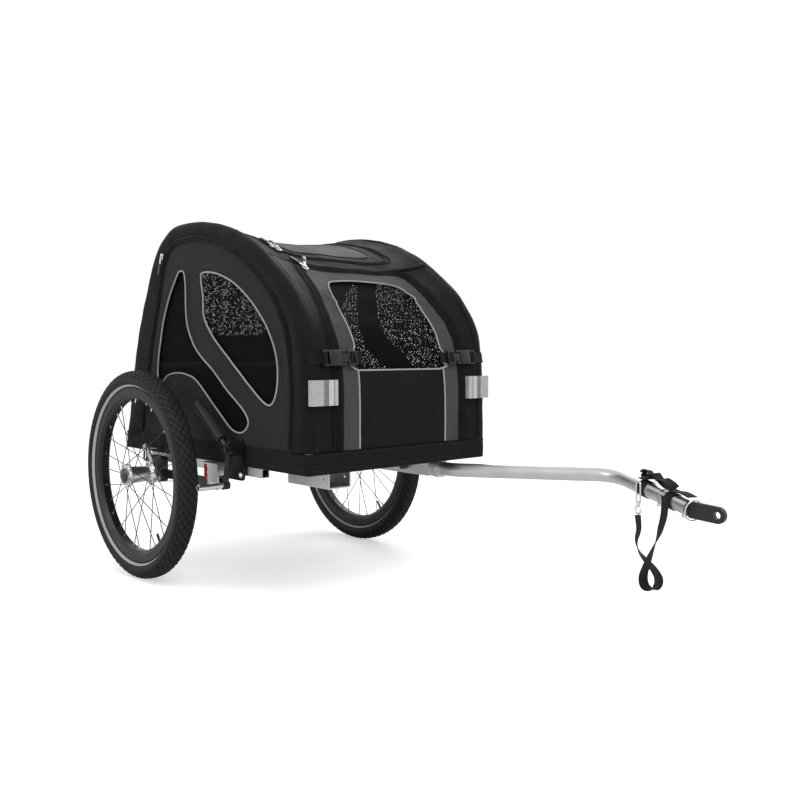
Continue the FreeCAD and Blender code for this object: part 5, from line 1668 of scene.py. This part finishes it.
def zip_pull_pieces(groups, label, body, node):
    metal, cords = [], []
    for group_metal, cord in groups:
        metal += group_metal
        cords.append(cord)
    finish_piece(mesh_piece(label + "_slider", *joined(metal)),
                 looks["zip_metal"], body, [node] if node else ())
    finish_piece(mesh_piece(label + "_tab", *joined(cords)),
                 looks["buckle_black"], body)


def zip_pulls():
    path = door_path(0.0)
    corner = path[(path[:, 1] < 0)]
    place = corner[np.argmin(np.abs(corner[:, 0] - (door_top_along - 12)))]
    zip_pull_pieces([surface_slider(place[0], place[1] + 4, 150, on_front), surface_slider(
        place[0] - 10, place[1] + 1, 205, on_front)], "door_zip", "front_door", "flap_zip_pull")
    groups = [surface_slider(hatch_low + 8, -hatch_half_width + 2, 175, on_roof, 1.4),
              surface_slider(hatch_low + 26, -hatch_half_width - 3, 190, on_roof, 1.4)]
    down = down_the_back(cabin_top - 40)
    point, normal = station(down)
    low = point - normal * (roll_reach(down) - 6)
    for side in (-1, 1):
        place = np.array([low[0], (half_width + 3.4) * side, low[1]])
        groups.append(slider_parts(place, (-0.25, 0, -0.968), (0, side, 0)))
    zip_pull_pieces(groups, "cabin_zips", "chassis", "zip_pulls")


zip_pulls()


# Domed bolts with washers on the brake's plate
brake_face_y = -(half_width + 0.3 + seam_gap + 5.0)
bolt_sides = 24
bolt_places = ((282, 274), (332, 274), (282, 338))
bolt_profile = [(0.0, 6.2), (1.2, 6.2), (1.2, 4.4), (3.0, 4.3), (4.2, 3.2), (4.8, 1.6), (4.9, 0.4)]


def brake_bolts():
    parts = []
    angles = np.linspace(0, 2 * math.pi, bolt_sides, endpoint=False)
    for x, z in bolt_places:
        rings = [np.stack([x + radius * np.cos(angles), 0 * angles + brake_face_y - out,
                           z + radius * np.sin(angles)], -1) for out, radius in bolt_profile]
        faces = grid_faces(len(bolt_profile), bolt_sides, False, True).tolist()
        faces.append(list(range(bolt_sides * (len(bolt_profile) - 1), bolt_sides * len(bolt_profile))))
        parts.append((np.concatenate(rings), faces))
    finish_piece(mesh_piece("brake_bolts", *joined(parts)),
                 looks["bolt_steel"], "chassis")


brake_bolts()


# Webbing on the drawbar's nose
def band_parts(distance, radius):
    angles = np.linspace(0, 2 * math.pi, 40, endpoint=False)
    lift = np.cross(nose_way, nose_side)
    outward = np.cos(angles)[:, None] * nose_side + np.sin(angles)[:, None] * lift
    ring = nose_point(distance) + radius * outward
    return swept(ring, outward, webbing_section(strap_width, band_thickness), closed=True)


def ribbon_over(stops, width=strap_width, lean=0.0):
    line = smooth_open(stops, 3.0)
    spine = np.array([nose_point(d) + nose_side * s + np.array([0, 0, up]) for d, s, up in line])
    roll = np.linspace(0, math.radians(lean), len(spine))
    base = np.array([0, 0, 1.0])
    up = np.cos(roll)[:, None] * base + np.sin(roll)[:, None] * nose_side
    return swept(spine, up, webbing_section(width, strap_thickness))


def nose_webbing():
    lift = bar_radius + band_thickness + 1.6
    parts = [
        band_parts(loop_place, bar_radius + 0.3 + band_thickness / 2),
        band_parts(strap_place, nose_sleeve_radius + 0.3 + band_thickness / 2),
        ribbon_over([(loop_place - 16, 0, lift), (loop_place - 2, 0, lift + 0.5),
                     (loop_place + 12, 0, lift + 5), (loop_place + 27, -1, lift + 20),
                     (loop_place + 42, -1, lift + 13),
                     (loop_place + 60, 0, lift + 5), (strap_place + 4, 1, lift + 1.5),
                     (strap_place + 30, 2, lift + 5), (strap_place + 56, 2, lift + 4)]),
        ribbon_over([(loop_place - 10, 3, lift + 3), (loop_place - 14, 3, lift + 12),
                     (loop_place, 2, lift + 19), (loop_place + 16, 1, lift + 12),
                     (loop_place + 20, 0, lift + 7)], 20.0, 25),
        ribbon_over([(loop_place + 44, -3, lift + 9), (loop_place + 62, -4, lift + 17),
                     (loop_place + 82, -2, lift + 12), (strap_place + 6, 0, lift + 6)], 20.0, -30),
    ]
    finish_piece(mesh_piece("nose_webbing", *joined(parts)),
                 looks["webbing_black"], "chassis", ["strap_bands"])


nose_webbing()


# Floor mat: a quilted pad, filled by a cloth simulation
mat_voxel = 9.0
mat_pressure = 4.0
mat_frames = 15
mat_cap = 4.5


def floor_mat():
    low, high = box_mm("floor_mat")
    shrink = np.array([5.0, 5.0, 5.0])
    part = rounded_block(low + shrink, high - shrink, 6.0, 2)
    piece = mesh_piece("floor_mat_pad", *part)
    bpy.context.view_layer.objects.active = piece
    remesh = piece.modifiers.new("remesh", "REMESH")
    remesh.mode = "VOXEL"
    remesh.voxel_size = mat_voxel * MM
    bpy.ops.object.modifier_apply(modifier=remesh.name)
    rest = np.array([v.co for v in piece.data.vertices])
    cloth = piece.modifiers.new("cloth", "CLOTH")
    cloth.settings.use_pressure = True
    cloth.settings.uniform_pressure_force = mat_pressure
    cloth.settings.effector_weights.gravity = 0.0
    scene = bpy.context.scene
    for number in range(1, mat_frames + 1):
        scene.frame_set(number)
    bpy.ops.object.modifier_apply(modifier=cloth.name)
    scene.frame_set(1)
    moved = np.array([v.co for v in piece.data.vertices])
    shift = moved - rest
    size = np.linalg.norm(shift, axis=1, keepdims=True)
    shift *= np.minimum(1, mat_cap * MM / np.maximum(size, 1e-9))
    points = rest + shift
    place = (points - points.min(0)) / (points.max(0) - points.min(0))
    top = smooth_step(place[:, 2], 0.55, 0.8)
    for axis, count in ((0, 5), (1, 3)):
        line = np.abs(place[:, axis] * count - np.round(place[:, axis] * count)) / count
        width = 9 * MM / (points[:, axis].max() - points[:, axis].min())
        points[:, 2] -= 3.2 * MM * np.exp(-(line / width) ** 2) * top
    piece.data.vertices.foreach_set("co", points.astype(np.float32).ravel())
    piece.data.polygons.foreach_set("use_smooth", [True] * len(piece.data.polygons))
    finish_piece(piece, looks["mat"], "chassis", ["floor_mat"])


floor_mat()


# Floor and light
def make_floor():
    size = 9.0
    mesh = bpy.data.meshes.new("floor")
    corners = [(-size, -size, 0), (size, -size, 0), (size, size, 0), (-size, size, 0)]
    mesh.from_pydata(corners, [], [(0, 1, 2, 3)])
    floor = bpy.data.objects.new("floor", mesh)
    bpy.context.scene.collection.objects.link(floor)
    s = Shader("floor")
    s.set(Base_Color=(0.9, 0.9, 0.9), Roughness=0.8, Specular_IOR_Level=0.1, Emission_Color=(1, 1, 1))
    seen = s.add("ShaderNodeLightPath").outputs["Is Camera Ray"]
    s.link(s.math("MULTIPLY", seen, 0.5), s.shader.inputs["Emission Strength"])
    floor.data.materials.append(s.material)


def make_world():
    world = bpy.data.worlds.new("studio")
    bpy.context.scene.world = world
    world.use_nodes = True
    tree = world.node_tree
    tree.nodes.clear()
    output = tree.nodes.new("ShaderNodeOutputWorld")
    light = tree.nodes.new("ShaderNodeBackground")
    light.inputs["Color"].default_value = (0.95, 0.97, 1.0, 1)
    light.inputs["Strength"].default_value = 0.6
    seen = tree.nodes.new("ShaderNodeBackground")
    seen.inputs["Color"].default_value = (1, 1, 1, 1)
    seen.inputs["Strength"].default_value = 1.0
    path = tree.nodes.new("ShaderNodeLightPath")
    total = path.outputs["Is Camera Ray"]
    for name in ("Is Glossy Ray", "Is Transmission Ray"):
        either = tree.nodes.new("ShaderNodeMath")
        either.operation = "MAXIMUM"
        tree.links.new(total, either.inputs[0])
        tree.links.new(path.outputs[name], either.inputs[1])
        total = either.outputs[0]
    mix = tree.nodes.new("ShaderNodeMixShader")
    tree.links.new(total, mix.inputs[0])
    tree.links.new(light.outputs[0], mix.inputs[1])
    tree.links.new(seen.outputs[0], mix.inputs[2])
    tree.links.new(mix.outputs[0], output.inputs["Surface"])


def area_light(name, place, target, width, height, power):
    data = bpy.data.lights.new(name, "AREA")
    data.shape = "RECTANGLE"
    data.size = width
    data.size_y = height
    data.energy = power
    light = bpy.data.objects.new(name, data)
    bpy.context.scene.collection.objects.link(light)
    light.location = place
    light.rotation_mode = "QUATERNION"
    light.rotation_quaternion = (Vector(target) - Vector(place)).to_track_quat("-Z", "Y")


make_floor()
make_world()
area_light("key", (1.9, -0.6, 2.4), (0, 0, 0.5), 1.4, 1.4, 34)
area_light("side", (-1.2, -2.8, 1.6), (0, 0, 0.4), 1.2, 1.6, 18)
area_light("back", (-1.4, 2.2, 2.2), (0, 0, 0.5), 1.6, 1.2, 18)
bpy.context.scene.view_settings.view_transform = "Standard"
